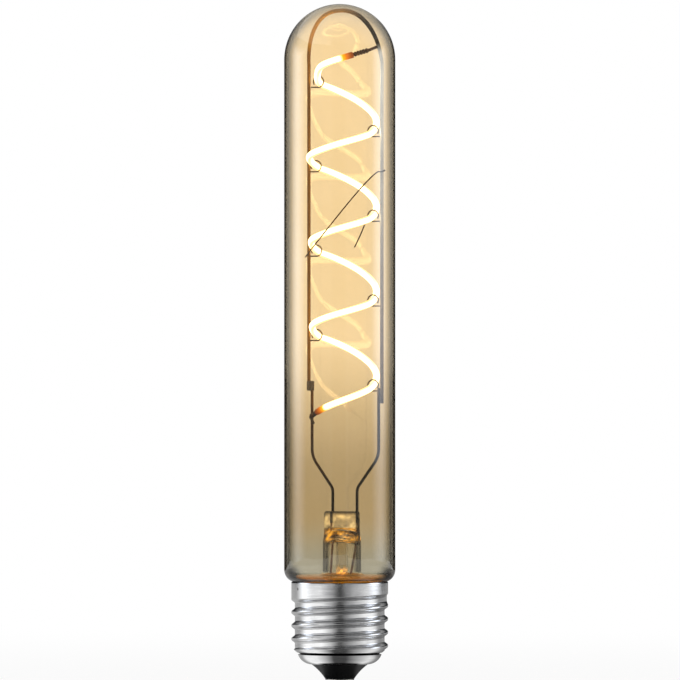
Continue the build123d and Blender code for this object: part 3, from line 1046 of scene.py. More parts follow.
@dataclass
class ScrewCap:
    """The metal screw shell with its rolled thread, the black insulator and the centre contact."""

    contact_radius: float = 3.9
    contact_height: float = 1.6
    contact_edge: float = 1.0
    contact_flat: float = 1.2
    contact_edge_steps: int = 10
    contact_steps: int = 96
    insulator_radius: float = 7.85
    insulator_rise: float = 1.6
    insulator_edge: float = 0.3
    insulator_shoulder: float = 0.5
    insulator_dish: float = 0.02
    insulator_steps: int = 128
    hollow_centre: Point = (16.2, -9.0)
    hollow_radius: float = 16.2
    hollow_turn: Span = (139.5, 117.5)
    hollow_steps: int = 18
    lip_level: float = 5.7
    bowl_centre: Point = (7.6, 9.6)
    bowl_radius: float = 4.0
    bowl_turn: Span = (-86.0, -19.0)
    bowl_steps: int = 20
    bowl_bore: float = 10.4
    bowl_sheet: float = 0.8
    lip_bore: float = 8.2
    lip_sheet: float = 0.4
    crease_low: float = 8.35
    crease_high: float = 8.75
    crease_radius: float = 10.8
    crease_lip: float = 0.1
    ledge_radius: float = 11.0
    ledge_level: float = 8.68
    root_radius: float = 11.55
    root_level: float = 8.8
    taper_low: float = 9.3
    taper_high: float = 10.3
    taper_steps: int = 8
    bowl_top: float = 9.1
    seat_level: float = 25.2
    rim_level: float = 28.0
    rim_round: float = 0.15
    rim_inset: float = 0.06
    rim_drop: float = 0.03
    crest_radius: float = 13.15
    groove_depth: float = 0.95
    valley_share: float = 0.34
    crest_share: float = 0.09
    sheet: float = 0.35
    pitch: float = 3.629
    groove_start_level: float = 23.55
    groove_start_turn: float = 20.0
    run_out: float = 40.0
    rings: int = 118
    steps: int = 192
    weld_spot: Place = (-11.4, -6.6, 26.2)

    @property
    def valley_radius(self) -> float:
        """Radius at the bottom of the groove."""
        return self.crest_radius - self.groove_depth

    def thread_cut(self, turn: float, level: float) -> float:
        """Depth of the rolled groove below the crest.

        Args:
            turn: Angle round the axis in degrees.
            level: Height in millimetres.

        Returns:
            Depth in millimetres.
        """
        whole = (level - self.groove_start_level) / self.pitch * 360.0
        apart = (turn - self.groove_start_turn - whole + 180.0) % 360.0 - 180.0
        fade = eased(-(whole + apart) / self.run_out)
        slope = 1.0 - self.valley_share - self.crest_share
        crest = min(max((abs(apart) / 180.0 - self.valley_share) / slope, 0.0), 1.0)
        return self.groove_depth * fade * 0.5 * (1.0 + math.cos(math.pi * crest))

    def shell_outline(self) -> list[Point]:
        """Outline of the shell's sheet before the thread is rolled.

        Returns:
            Points of (radius, height), outside upwards and inside downwards.
        """
        crest, valley = self.crest_radius, self.valley_radius
        bowl = arc(self.bowl_centre, self.bowl_radius, *self.bowl_turn, self.bowl_steps)
        crease = [
            (self.crease_radius + self.crease_lip, self.crease_low),
            (self.crease_radius, self.crease_low + self.crease_lip),
            (self.ledge_radius, self.ledge_level), (self.root_radius, self.root_level)]
        shares = [step / self.taper_steps for step in range(self.taper_steps)]
        climb = self.taper_high - self.taper_low
        taper = [(valley + self.groove_depth * share, self.taper_low + climb * share) for share in shares]
        rise = self.rim_level - self.rim_round - self.taper_high
        wall = [(crest, self.taper_high + rise * ring / self.rings) for ring in range(self.rings + 1)]
        rim = [
            (crest - self.rim_inset, self.rim_level - self.rim_drop),
            (crest - self.sheet / 2, self.rim_level)]
        inside = [
            (crest - self.sheet, self.rim_level), (crest - self.sheet, self.seat_level),
            (valley - self.sheet, self.seat_level), (valley - self.sheet, self.bowl_top),
            (self.bowl_bore, self.bowl_top - self.bowl_sheet),
            (self.lip_bore, self.lip_level + self.lip_sheet)]
        return bowl + crease + taper + wall + rim + inside

    def roll_thread(self, piece: Piece) -> None:
        """Presses the thread's groove into the shell's outer wall.

        Args:
            piece: The turned shell.
        """
        for spot in piece.data.vertices:
            reach = math.hypot(spot.co.x, spot.co.y) / MM
            level = spot.co.z / MM
            if reach > self.valley_radius - self.sheet / 2 and self.root_level < level < self.seat_level:
                turn = math.degrees(math.atan2(spot.co.y, spot.co.x))
                pressed = min(reach, self.crest_radius - self.thread_cut(turn, level))
                share = max(pressed, self.valley_radius) / reach
                spot.co.x *= share
                spot.co.y *= share

    def build_shell(self) -> None:
        """Turns the shell from sheet, rolls the thread into it and dresses it."""
        piece = turned("rolled_screw_shell", self.shell_outline(), self.steps, closed=True)
        self.roll_thread(piece)
        smooth(piece, PRESSED_SHARP_ANGLE)
        # The dark band at the crease is painted shade.
        finish = MetalFinish(
            "rolled_cap_sheet", base=(0.70, 0.70, 0.70), worn=(0.55, 0.55, 0.555), roughness=0.15,
            roughness_spread=0.06, across=1400.0, along=120.0, bump=0.03,
            crease=(self.crease_low, self.crease_high), weld_spot=self.weld_spot)
        hand_over(piece, "screw_shell", finish.make())

    def build_insulator(self) -> None:
        """Turns the hollow-sided black glass insulator and dresses it."""
        side = arc(self.hollow_centre, self.hollow_radius, *self.hollow_turn, self.hollow_steps)
        first, last = side[0], side[-1]
        inner, base, outer = self.contact_radius, self.contact_height, self.insulator_radius
        spread = (outer - inner) / (last[0] - first[0])
        lift = (self.lip_level - base) / (last[1] - first[1])
        hollow = [
            (inner + (radius - first[0]) * spread, base + (height - first[1]) * lift)
            for radius, height in side]
        top = self.lip_level + self.insulator_rise
        bottom = [(0.0, base + self.insulator_dish), (inner - self.insulator_edge, base)]
        crown = [
            (outer, self.lip_level + self.insulator_edge), (outer - self.insulator_shoulder, top), (0.0, top)]
        piece = turned("black_cap_insulator", bottom + hollow + crown, self.insulator_steps)
        finish = MouldedFinish(
            "black_cap_glass", base=(0.006, 0.006, 0.0065), mottle=(0.010, 0.010, 0.010), roughness=0.38,
            coat=0.04, grain=900.0, bump=0.1, gloss=0.12)
        hand_over(piece, "cap_insulator", finish.make())

    def build_contact(self) -> None:
        """Turns the centre contact with its rounded edge and dresses it."""
        round_centre = (self.contact_radius - self.contact_edge, self.contact_edge)
        edge = arc(round_centre, self.contact_edge, -90.0, 0.0, self.contact_edge_steps)
        bottom = [(0.0, 0.0), (self.contact_flat, 0.0)]
        top = [(self.contact_radius, self.contact_height), (0.0, self.contact_height)]
        piece = turned("solder_centre_contact", bottom + edge + top, self.contact_steps)
        finish = MetalFinish(
            "contact_solder", base=(0.56, 0.55, 0.53), worn=(0.42, 0.40, 0.37), roughness=0.32, across=500.0,
            along=500.0)
        hand_over(piece, "centre_contact", finish.make())

    def build(self) -> None:
        """Builds the cap's pieces in order."""
        self.build_shell()
        self.build_insulator()
        self.build_contact()


@dataclass
class Stem:
    """The clear glass stem with its flat pinch and the exhaust tube."""

    place: MountPlace
    radius: float = 5.25
    wall: float = 0.8
    flare_bottom: float = 28.5
    flare_curve: float = 1.5
    seal_radius: float = 12.6
    bore_top: float = 39.7
    bore_round: float = 1.6
    bend_steps: int = 8
    climb_steps: int = 40
    crown_start: float = 10.0
    crown_steps: int = 6
    steps: int = 96
    press_bottom: float = 38.2
    press_top: float = 43.0
    pinch_top: float = 47.2
    pinch_half: float = 1.65
    pinch_round: float = 0.7
    painted_outline: float = 0.95
    painted_outline_soft: float = 0.6
    outline_attribute: str = "painted_outline"
    exhaust_radius: float = 1.6
    exhaust_wall: float = 0.5
    exhaust_top: float = 38.8
    exhaust_tip: float = 27.8
    tip_steps: int = 10
    exhaust_steps: int = 64

    def flatten(self, level: float) -> float:
        """Share of its depth that the stem keeps at a level, from the tube to the pinch."""
        share = eased((level - self.press_bottom) / (self.press_top - self.press_bottom))
        return 1.0 + (self.pinch_half / self.radius - 1.0) * share

    def stem_outline(self) -> list[Point]:
        """Outline of the flared tube before its top is pressed flat.

        Returns:
            Points of (radius, height), inside downwards and outside upwards.
        """
        steps = self.bend_steps
        bore = self.radius - self.wall
        edge = self.wall / 2
        top_face = self.flare_bottom + self.wall
        bend = (self.radius + self.flare_curve, top_face + self.flare_curve)
        vault = (bore - self.bore_round, self.bore_top - self.bore_round)
        inner = [(0.0, self.bore_top)] + arc(vault, self.bore_round, 90.0, 0.0, steps)
        inner += arc(bend, self.flare_curve + self.wall, 180.0, 270.0, steps)
        rim = arc((self.seal_radius - edge, top_face - edge), edge, -90.0, 90.0, steps)
        outer = arc(bend, self.flare_curve, 270.0, 180.0, steps)
        corner = (self.radius - self.pinch_round, self.pinch_top - self.pinch_round)
        rise = corner[1] - bend[1]
        climb = [
            (self.radius, bend[1] + rise * step / self.climb_steps)
            for step in range(1, self.climb_steps + 1)]
        crown = arc(corner, self.pinch_round, self.crown_start, 90.0, self.crown_steps)
        return inner + rim + outer + climb + crown + [(0.0, self.pinch_top)]

    def press(self, piece: Piece) -> None:
        """Presses the stem's top flat and stores the painted dark outline along the pinch's edges.

        Args:
            piece: The turned stem.
        """
        outline_share = piece.data.attributes.new(self.outline_attribute, "FLOAT", "POINT")
        for spot, value in zip(piece.data.vertices, outline_share.data):
            level = spot.co.z / MM
            if level > self.press_bottom:
                spot.co.y *= self.flatten(level)
                inward = min(self.radius - abs(spot.co.x) / MM, self.pinch_top - level)
                value.value = min(max((self.painted_outline - inward) / self.painted_outline_soft, 0.0), 1.0)

    def build_stem(self) -> None:
        """Turns the flared tube, presses its top flat and dresses it."""
        piece = turned("clear_glass_stem", self.stem_outline(), self.steps)
        self.press(piece)
        settle(piece, self.place.stem)
        smooth(piece, PRESSED_SHARP_ANGLE)
        # Painted glow and glints at the seal, the waist and the pinch stand in for the filament's light in
        # the stem.
        seal_glow = GlowBand((1.0, 0.44, 0.0), 0.17, 28.0, 0.5, 29.9, 0.3)
        waist_glow = GlowBand((1.0, 0.46, 0.02), 1.8, 39.8, 0.8, 41.6, 1.0, glint=420.0)
        pinch_glow = GlowBand((1.0, 0.80, 0.42), 1.0, 42.9, 0.6, 45.6, 1.0, glint=300.0)
        # The swirls over the waist and the dark outline of the pinch are painted shade.
        finish = GlassFinish(
            "stem_glass", tint=(0.97, 0.93, 0.84), deep_tint=(0.93, 0.86, 0.72),
            edge_shade=(0.008, 0.006, 0.004), edge=(0.12, 0.6), edge_from=31.0,
            outline_attribute=self.outline_attribute, foot_tint=(0.18, 0.06, 0.002), foot_level=29.6,
            painted_swirls=PaintedShadeSwirls(39.6, 42.8, 360.0), glows=(seal_glow, waist_glow, pinch_glow))
        hand_over(piece, "stem_flare", finish.make())

    def build_exhaust(self) -> None:
        """Turns the thin exhaust tube with its melted tip and dresses it."""
        bore = self.exhaust_radius - self.exhaust_wall
        centre = (0.0, self.exhaust_tip + self.exhaust_radius)
        outer = arc(centre, self.exhaust_radius, -90.0, 0.0, self.tip_steps)
        outer[0] = (0.0, self.exhaust_tip)
        inner = arc(centre, bore, 0.0, -90.0, self.tip_steps)
        inner[-1] = (0.0, self.exhaust_tip + self.exhaust_wall)
        outline = outer + [(self.exhaust_radius, self.exhaust_top), (bore, self.exhaust_top)] + inner
        piece = turned("exhaust_tube_tip", outline, self.exhaust_steps)
        settle(piece, self.place.stem)
        # Painted glow at the melted tip stands in for the light that the tube carries down to it.
        tip_glow = GlowBand((1.0, 0.42, 0.04), 1.2, 27.0, 1.0, 30.6, 2.2, glint=900.0)
        finish = GlassFinish(
            "exhaust_glass", tint=(0.95, 0.90, 0.80), deep_tint=(0.90, 0.78, 0.58),
            edge_shade=(0.15, 0.10, 0.05), edge=(0.4, 0.9), glows=(tip_glow,))
        hand_over(piece, "exhaust_tube", finish.make())

    def build(self) -> None:
        """Builds the stem's pieces in order."""
        self.build_stem()
        self.build_exhaust()


@dataclass
class Coil:
    """The spiral line that the filament follows from hook to hook, in the mount's own place."""

    radius: float = 8.1
    right_bulge: float = 0.5
    left_bulge: tuple[float, ...] = (-0.7, 1.6, 1.1, 0.8)
    right_bulge_turn: float = -30.0
    left_bulge_turn: float = 148.0
    bulge_power: int = 7
    top: float = 173.03
    pitch: float = 22.98
    front_fall: float = 9.49
    last_fall: float = 12.3
    last_lap: int = 4
    front_even: float = 0.78
    front_power: int = 8
    back_power: float = 1.6
    ease_step: float = 4.0
    ease_count: int = 4
    start: float = 51.0
    laps: float = 4.21

    @property
    def end(self) -> float:
        """Turn at which the filament ends."""
        return self.start + 360.0 * self.laps

    def raw_level(self, turn: float) -> float:
        """Height of the line before its bends at the hooks are eased.

        Args:
            turn: Degrees from the right hooks.

        Returns:
            Height in millimetres.
        """
        lap, part = divmod(turn, 360.0)
        level = self.top - self.pitch * lap
        fall = self.last_fall if lap >= self.last_lap else self.front_fall
        if part < 180.0:
            share = part / 180.0
            droop = (1.0 - self.front_even) * share ** self.front_power
            return level - fall * (self.front_even * share + droop)
        return level - fall - (self.pitch - fall) * (part / 180.0 - 1.0) ** self.back_power

    def bulge(self, turn: float, middle: float) -> float:
        """Share of a bulge whose middle is at another turn."""
        return max(math.cos(math.radians(turn - middle)), 0.0) ** self.bulge_power

    def point(self, turn: float) -> Vector:
        """Point of the centre line.

        Args:
            turn: Degrees from the right hooks.

        Returns:
            The point in millimetres.
        """
        angle = math.radians(turn)
        nearby = [self.ease_step * step for step in range(-self.ease_count, self.ease_count + 1)]
        level = sum(self.raw_level(turn + apart) for apart in nearby) / len(nearby)
        lap = min(int(turn // 360.0), len(self.left_bulge) - 1)
        reach = self.radius + self.left_bulge[lap] * self.bulge(turn, self.left_bulge_turn)
        reach += self.right_bulge * self.bulge(turn, self.right_bulge_turn)
        return Vector((reach * math.cos(angle), -reach * math.sin(angle), level))

    def direction(self, turn: float) -> Vector:
        """Direction in which the centre line runs down at a turn."""
        return (self.point(turn + 1.0) - self.point(turn - 1.0)).normalized()


@dataclass
class WireFrame:
    """The bent support wire, the two leads and the insulating bead."""

    place: MountPlace
    half_span: float = 10.8
    wire: float = 0.95
    arch_top: float = 183.4
    arch_rise: float = 14.9
    arch_lean: float = 1.0
    arch_fullness: float = 0.8
    arch_swell: float = 0.3
    arch_steps: int = 60
    right_end: float = 76.5
    left_end: float = 80.1
    lead: float = 0.8
    lead_spacing: float = 7.2
    lead_foot: float = 44.0
    slope_foot: float = 53.4
    slope_height: float = 8.6
    lower_bend: float = 3.0
    upper_bend: float = 7.0
    right_lead_place: float = 9.925
    left_lead_place: float = 9.825
    right_lead_top: float = 80.7
    left_lead_top: float = 82.4
    bead_height: float = 2.7
    bead_margin: float = 0.2
    bead_round: float = 0.25
    bead_edge_steps: int = 6
    bead_steps: int = 48

    @property
    def spring(self) -> float:
        """Level at which the legs turn into the arch."""
        return self.arch_top - self.arch_rise

    def reach(self, level: float) -> float:
        """Distance of the right leg or the arch from the mount's middle at a level."""
        above_spring = max(level - self.spring, 0.0) / self.arch_rise
        return self.half_span * math.sqrt(1.0 - above_spring ** 2) - self.arch_lean * above_spring

    def build_frame(self, material: Material) -> None:
        """Bends the support wire with its leaning arch and dresses it.

        Args:
            material: Finish of the wire.
        """
        path = [Vector((self.half_span, 0, self.right_end))]
        swell = [1.0]
        for step in range(self.arch_steps + 1):
            angle = math.pi * step / self.arch_steps
            across, rise = math.cos(angle), math.sin(angle)
            if across < 0:
                across = -abs(across) ** self.arch_fullness
            sideways = self.half_span * across - self.arch_lean * rise
            path.append(Vector((sideways, 0, self.spring + self.arch_rise * rise)))
            swell.append(1.0 + self.arch_swell * rise)
        path.append(Vector((-self.half_span, 0, self.left_end)))
        swell.append(1.0)
        piece = drawn_wire("bent_support_wire", path, self.wire, swell=swell)
        settle(piece, self.place.wires)
        hand_over(piece, "support_frame", material)

    def build_lead(self, side: Side, reach: float, top: float, material: Material) -> None:
        """Bends one lead from the pinch out to its leg and dresses it.

        Args:
            side: Side of the frame.
            reach: Distance of its upper end from the mount's middle.
            top: Level of its upper end.
            material: Finish of the wire.
        """
        label = side.name.lower()
        foot = side.value * self.lead_spacing / 2
        corners = [
            Vector((foot, 0, self.lead_foot)), Vector((foot, 0, self.slope_foot)),
            Vector((side.value * reach, 0, self.slope_foot + self.slope_height)),
            Vector((side.value * reach, 0, top))]
        path = rounded(corners, (self.lower_bend, self.upper_bend))
        piece = drawn_wire(f"{label}_thick_lead", path, self.lead)
        settle(piece, self.place.wires)
        hand_over(piece, f"{label}_lead_wire", material)

    def build_bead(self) -> None:
        """Turns the glass bead that keeps the left leg clear of its lead and dresses it."""
        half = self.bead_height / 2
        radius = self.lead / 2 + self.bead_margin
        corner = (radius - self.bead_round, half - self.bead_round)
        ends = arc(corner, self.bead_round, 90.0, 0.0, self.bead_edge_steps)
        outline = [(0.0, half)] + ends + [(reach, -level) for reach, level in ends[::-1]] + [(0.0, -half)]
        piece = turned("left_glass_bead", outline, self.bead_steps)
        apart = self.half_span - self.left_lead_place
        stretch = (apart + (self.wire + self.lead) / 2 + 2 * self.bead_margin) / (2 * radius)
        middle = -(self.half_span + self.left_lead_place) / 2
        spot = Matrix.Translation(Vector((middle, 0, self.left_end - self.bead_margin + half)) * MM)
        settle(piece, self.place.wires @ spot @ Matrix.Diagonal((stretch, 1, 1, 1)))
        finish = MouldedFinish(
            "dark_bead_glass", base=(0.035, 0.022, 0.012), mottle=(0.06, 0.038, 0.02), roughness=0.2,
            coat=0.6, grain=1500.0, bump=0.05)
        hand_over(piece, "insulating_bead", finish.make())

    def build(self) -> None:
        """Builds the frame's pieces in order."""
        material = WireTintAndShadeFinish(
            "tinted_nickel_wire", bright=(0.60, 0.73, 0.98), brown=(0.23, 0.115, 0.018),
            dark=(0.012, 0.008, 0.005)).make()
        self.build_frame(material)
        self.build_lead(Side.RIGHT, self.right_lead_place, self.right_lead_top, material)
        self.build_lead(Side.LEFT, self.left_lead_place, self.left_lead_top, material)
        self.build_bead()


@dataclass
class SpiralFilament:
    """The lit filament with its end tabs, hooks and the tie wire."""

    place: MountPlace
    frame: WireFrame
    coil: Coil = field(default_factory=Coil)
    width: float = 1.75
    sides: int = 5
    steps: int = 420
    hook_wire: float = 0.35
    hook_count: int = 4
    ring_radius: float = 1.5
    ring_steps: int = 40
    hook_opening: float = 60.0
    loose_hook: int = 2
    loose_reach: Place = (-4.6, 1.53, -8.5)
    loose_bow: Place = (0.25, 0.0, 0.1)
    loose_steps: int = 12
    strip: float = 0.8
    strip_overlap: float = 0.25
    strip_bend: float = 1.0
    crimp_width: float = 1.35
    crimp_gap: float = 0.3
    crimp_share: float = 0.9
    crimp_steps: int = 20
    ridge_spacing: float = 0.8
    ridge_depth: float = 0.24
    ridge_top: Span = (0.3, 0.7)
    ridge_end: float = 0.96
    top_tab_rise: float = 2.3
    top_tab_share: float = 0.62
    bottom_tab_drop: float = 3.0
    bottom_tab_share: float = 0.385
    tie_upper_turn: float = 720.0
    tie_upper_rise: float = 11.9
    tie_lower_turn: float = 900.0
    tie_lower_drop: float = 0.8
    tie_bow: float = 10.3
    tie_rise: float = 1.8
    tie_steps: int = 60
    tie_first_step: int = 4
    curl_radius: float = 0.75
    curl_start: float = 40.0
    curl_turn: float = 12.0
    curl_rise: float = 0.5
    curl_steps: int = 9

    def build_filament(self) -> None:
        """Draws the filament along its spiral and stores where its ends and its thin edges are."""
        finish = FilamentFinish("lit_filament_coat")
        run = self.coil.end - self.coil.start
        path = [self.coil.point(self.coil.start + run * step / self.steps) for step in range(self.steps + 1)]
        piece = drawn_wire("lit_spiral_filament", path, self.width, self.sides)
        distance = piece.data.attributes.new(finish.end_attribute, "FLOAT", "POINT")
        for spot, value in zip(piece.data.vertices, distance.data):
            value.value = min((spot.co / MM - end).length for end in (path[0], path[-1]))
        edge = piece.data.attributes.new(finish.edge_attribute, "FLOAT", "POINT")
        for spot, value in zip(piece.data.vertices, edge.data):
            value.value = abs(spot.normal.z)
        settle(piece, self.place.wires)
        hand_over(piece, "led_filament", finish.make())

    def build_hooks(self, material: Material) -> None:
        """Draws one hook, copies it to every turn and dresses the copies.

        Args:
            material: Finish of the hooks.
        """
        tail = self.frame.half_span - self.frame.wire / 2 - self.coil.radius
        path = [Vector((tail, 0, -self.ring_radius))]
        for step in range(self.ring_steps + 1):
            angle = math.radians((self.hook_opening - 360.0) * step / self.ring_steps)
            path.append(Vector((math.sin(angle), 0, -math.cos(angle))) * self.ring_radius)
        model = drawn_wire("hook_model", path, self.hook_wire, FINE_WIRE_SIDES)
        for number in range(1, self.hook_count + 1):
            for side, turn in ((Side.RIGHT, 360.0 * number), (Side.LEFT, 360.0 * number - 180.0)):
                label = f"{side.name.lower()}_{number}"
                make_active(model)
                bpy.ops.object.duplicate(linked=False)
                piece = bpy.context.object
                piece.name = f"wire_hook_{label}"
                spot = self.coil.point(turn) * MM
                flip = Matrix.Diagonal((side.value, 1, 1, 1))
                settle(piece, self.place.wires @ Matrix.Translation((spot.x, 0, spot.z)) @ flip)
                close_seams(piece)
                if side is Side.RIGHT and number == self.loose_hook:
                    piece = joined(piece.name, [piece, self.loose_end()])
                hand_over(piece, f"filament_hook_{label}", material)
        bpy.data.objects.remove(model)

    def loose_end(self) -> Piece:
        """Draws the loose wire end that hangs from one right hook.

        Returns:
            The wire end, in its place.
        """
        spot = self.coil.point(360.0 * self.loose_hook)
        start = Vector((spot.x - self.ring_radius, 0, spot.z))
        reach, bow = Vector(self.loose_reach), Vector(self.loose_bow)
        shares = [step / self.loose_steps for step in range(self.loose_steps + 1)]
        path = [start + reach * share + bow * math.sin(math.pi * share) for share in shares]
        piece = drawn_wire("loose_wire_end", path, self.hook_wire, FINE_WIRE_SIDES)
        settle(piece, self.place.wires)
        return piece

    def crimp(self, name: str, length: float) -> Piece:
        """Turns a ridged crimp that stands on the origin.

        Args:
            name: Name of the crimp.
            length: Length in millimetres.

        Returns:
            The crimp.
        """
        ridges = round(length / self.ridge_spacing)
        step = length / ridges
        high = self.crimp_width / 2
        low = high - self.ridge_depth
        outline = [(0.0, 0.0)]
        for ridge in range(ridges):
            outline.append((low, step * ridge))
            outline += [(high, step * (ridge + share)) for share in self.ridge_top]
            outline.append((low, step * (ridge + self.ridge_end)))
        return turned(name, outline + [(0.0, length)], self.crimp_steps)

    def build_tab(self, end: End, turn: float, joint: Vector, share: float, finish: Material) -> None:
        """Crimps a tab to a filament end and bends its strip across to the wire that carries it.

        Args:
            end: Which end of the filament.
            turn: Turn of the filament's end.
            joint: Where the strip is welded on, in the mount's place.
            share: Share of the way that the crimp takes.
            finish: Finish of the tab.
        """
        label = end.name.lower()
        name = f"{label}_crimped_tab"
        tip = self.coil.point(turn)
        along = self.coil.direction(turn) * end.value
        straight = (joint - tip).length * share
        corners = [tip - along * self.strip_overlap, tip + along * straight, joint]
        path = rounded(corners, (self.strip_bend,))
        strip = drawn_wire(f"{name}_strip", path, self.strip, FINE_WIRE_SIDES)
        crimp = self.crimp(f"{name}_crimp", straight * self.crimp_share - self.crimp_gap)
        foot = Matrix.Translation((tip + along * self.crimp_gap) * MM)
        settle(crimp, foot @ along.to_track_quat("Z", "Y").to_matrix().to_4x4())
        piece = joined(name, [strip, crimp])
        settle(piece, self.place.wires)
        hand_over(piece, f"{label}_filament_tab", finish)

    def build_tabs(self) -> None:
        """Builds both end tabs."""
        finish = MetalFinish(
            "oxidised_tab", base=(0.10, 0.055, 0.03), worn=(0.05, 0.028, 0.015), roughness=0.42, across=600.0,
            along=600.0).make()
        wires, coil = self.frame, self.coil
        top = coil.point(coil.start).z + self.top_tab_rise
        right = Vector((wires.reach(top) - wires.wire / 2, 0, top))
        self.build_tab(End.TOP, coil.start, right, self.top_tab_share, finish)
        bottom = coil.point(coil.end).z - self.bottom_tab_drop
        left = Vector((wires.lead / 2 - wires.left_lead_place, 0, bottom))
        self.build_tab(End.BOTTOM, coil.end, left, self.bottom_tab_share, finish)

    def build_tie(self, finish: Material) -> None:
        """Draws the tie wire across the front of the coil with a curl round the right leg.

        Args:
            finish: Finish of the tie wire.
        """
        span = self.frame.half_span
        start = self.coil.point(self.tie_upper_turn).z + self.tie_upper_rise
        drop = start - (self.coil.point(self.tie_lower_turn).z - self.tie_lower_drop)
        turn = math.radians(self.place.turn)
        seen_span = span * math.cos(turn)
        path = []
        for step in range(self.curl_steps + 1):
            angle = math.radians(self.curl_start - self.curl_turn * step)
            curl = Vector((math.cos(angle), math.sin(angle), 0)) * self.curl_radius
            path.append(curl + Vector((span, 0, start + self.curl_rise * (1 - step / self.curl_steps))))
        for step in range(self.tie_first_step, self.tie_steps + 1):
            angle = math.pi * step / self.tie_steps
            point = Vector((span * math.cos(angle), -self.tie_bow * math.sin(angle), 0))
            seen = point.x * math.cos(turn) + point.y * math.sin(turn)
            share = max(seen_span - seen, 0.0) / (2 * seen_span)
            point.z = start - drop * share + self.tie_rise * math.sin(math.pi * math.sqrt(min(share, 1.0)))
            path.append(point)
        piece = drawn_wire("front_tie_wire", path, self.hook_wire, FINE_WIRE_SIDES)
        settle(piece, self.place.wires)
        hand_over(piece, "tie_wire", finish)

    def build(self) -> None:
        """Builds the filament and what holds it, in order."""
        self.build_filament()
        shaded, arch = (0.03, 0.018, 0.006), (0.12, 0.07, 0.02)
        material = WireTintAndShadeFinish(
            "fine_hook_wire", bright=shaded, brown=(0.07, 0.04, 0.01), dark=(0.03, 0.018, 0.008),
            bright_low=shaded, arch_left=arch, arch_right=arch, rise=(44.0, 60.0)).make()
        self.build_hooks(material)
        self.build_tie(material)
        self.build_tabs()


@dataclass
class Driver:
    """The driver in the cap and the copper wires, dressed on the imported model's own nodes."""

    package: MouldedFinish = MouldedFinish("moulded_package", (0.02, 0.02, 0.02), (0.03, 0.03, 0.03), 0.6)
    board: MouldedFinish = MouldedFinish("board_lacquer", (0.03, 0.13, 0.06), (0.02, 0.09, 0.04), 0.35, 0.4)
    sleeve: MouldedFinish = MouldedFinish(
        "capacitor_sleeve", (0.02, 0.03, 0.09), (0.03, 0.04, 0.12), 0.3, 0.4)
    resistor: MouldedFinish = MouldedFinish("resistor_coat", (0.10, 0.25, 0.24), (0.07, 0.19, 0.18), 0.55)
    cement: MouldedFinish = MouldedFinish("basing_cement", (0.42, 0.26, 0.12), (0.30, 0.17, 0.07), 0.85)
    copper: MetalFinish = MetalFinish("copper_lead", (0.26, 0.12, 0.05), (0.16, 0.07, 0.03), 0.3)

    def build(self) -> None:
        """Dresses every node with its finish."""
        dressed = (
            (self.cement, ("basing_cement",)), (self.board, ("driver_board",)),
            (self.package, ("rectifier_bridge", "driver_chip")), (self.sleeve, ("smoothing_capacitor",)),
            (self.resistor, ("fuse_resistor",)),
            (self.copper, ("shell_wire", "left_outer_lead", "right_outer_lead")))
        for finish, nodes in dressed:
            material = finish.make()
            for node in nodes:
                dress(frame["nodes"][node], material)
                log.info("node %s dressed with %s", node, material.name)


# Studio


def hide_from(piece: Piece, *rays: Ray) -> None:
    """Hides an object from some kinds of rays."""
    for ray in rays:
        setattr(piece, ray.value, False)


def stand(name: str, data: bpy.types.ID, place: Place, turn: float = 0.0) -> Piece:
    """Stands a light or a camera in the studio, looking level.

    Args:
        name: Name of the object.
        data: The light or the camera.
        place: Where it stands, in metres.
        turn: How far it is turned about the upright, in radians.

    Returns:
        The object.
    """
    piece = bpy.data.objects.new(name, data)
    bpy.context.scene.collection.objects.link(piece)
    piece.location = place
    piece.rotation_euler = (math.pi / 2, 0, turn)
    return piece


def round_the_lamp(distance: float, angle: float, height: float) -> Place:
    """Place at a distance from the lamp, with its angle in radians from the camera to the right."""
    return distance * math.sin(angle), -distance * math.cos(angle), height


def reflection_only(piece: Piece, material: Material) -> None:
    """Dresses a studio piece and hides it from everything but reflections.

    Args:
        piece: The studio piece.
        material: Its finish.
    """
    dress(piece, material)
    hide_from(piece, Ray.CAMERA, Ray.DIFFUSE, Ray.TRANSMISSION, Ray.SHADOW)


def empty_tree(owner: Material | bpy.types.World) -> NodeDesk:
    """Clears the nodes of a material or a world and gives a desk for new ones.

    Args:
        owner: The material or the world.

    Returns:
        The desk.
    """
    owner.use_nodes = True
    owner.node_tree.nodes.clear()
    return NodeDesk(owner.node_tree)


def glowing_shade(name: str) -> tuple[Material, NodeDesk, Node]:
    """Starts the glowing shade of a reflector.

    Args:
        name: Name of the material.

    Returns:
        The material, a desk for its nodes and its emission node.
    """
    material = bpy.data.materials.new(name)
    material.cycles.emission_sampling = "NONE"
    desk = empty_tree(material)
    glow = desk.add("ShaderNodeEmission")
    desk.add("ShaderNodeOutputMaterial", glow.outputs[0])
    return material, desk, glow


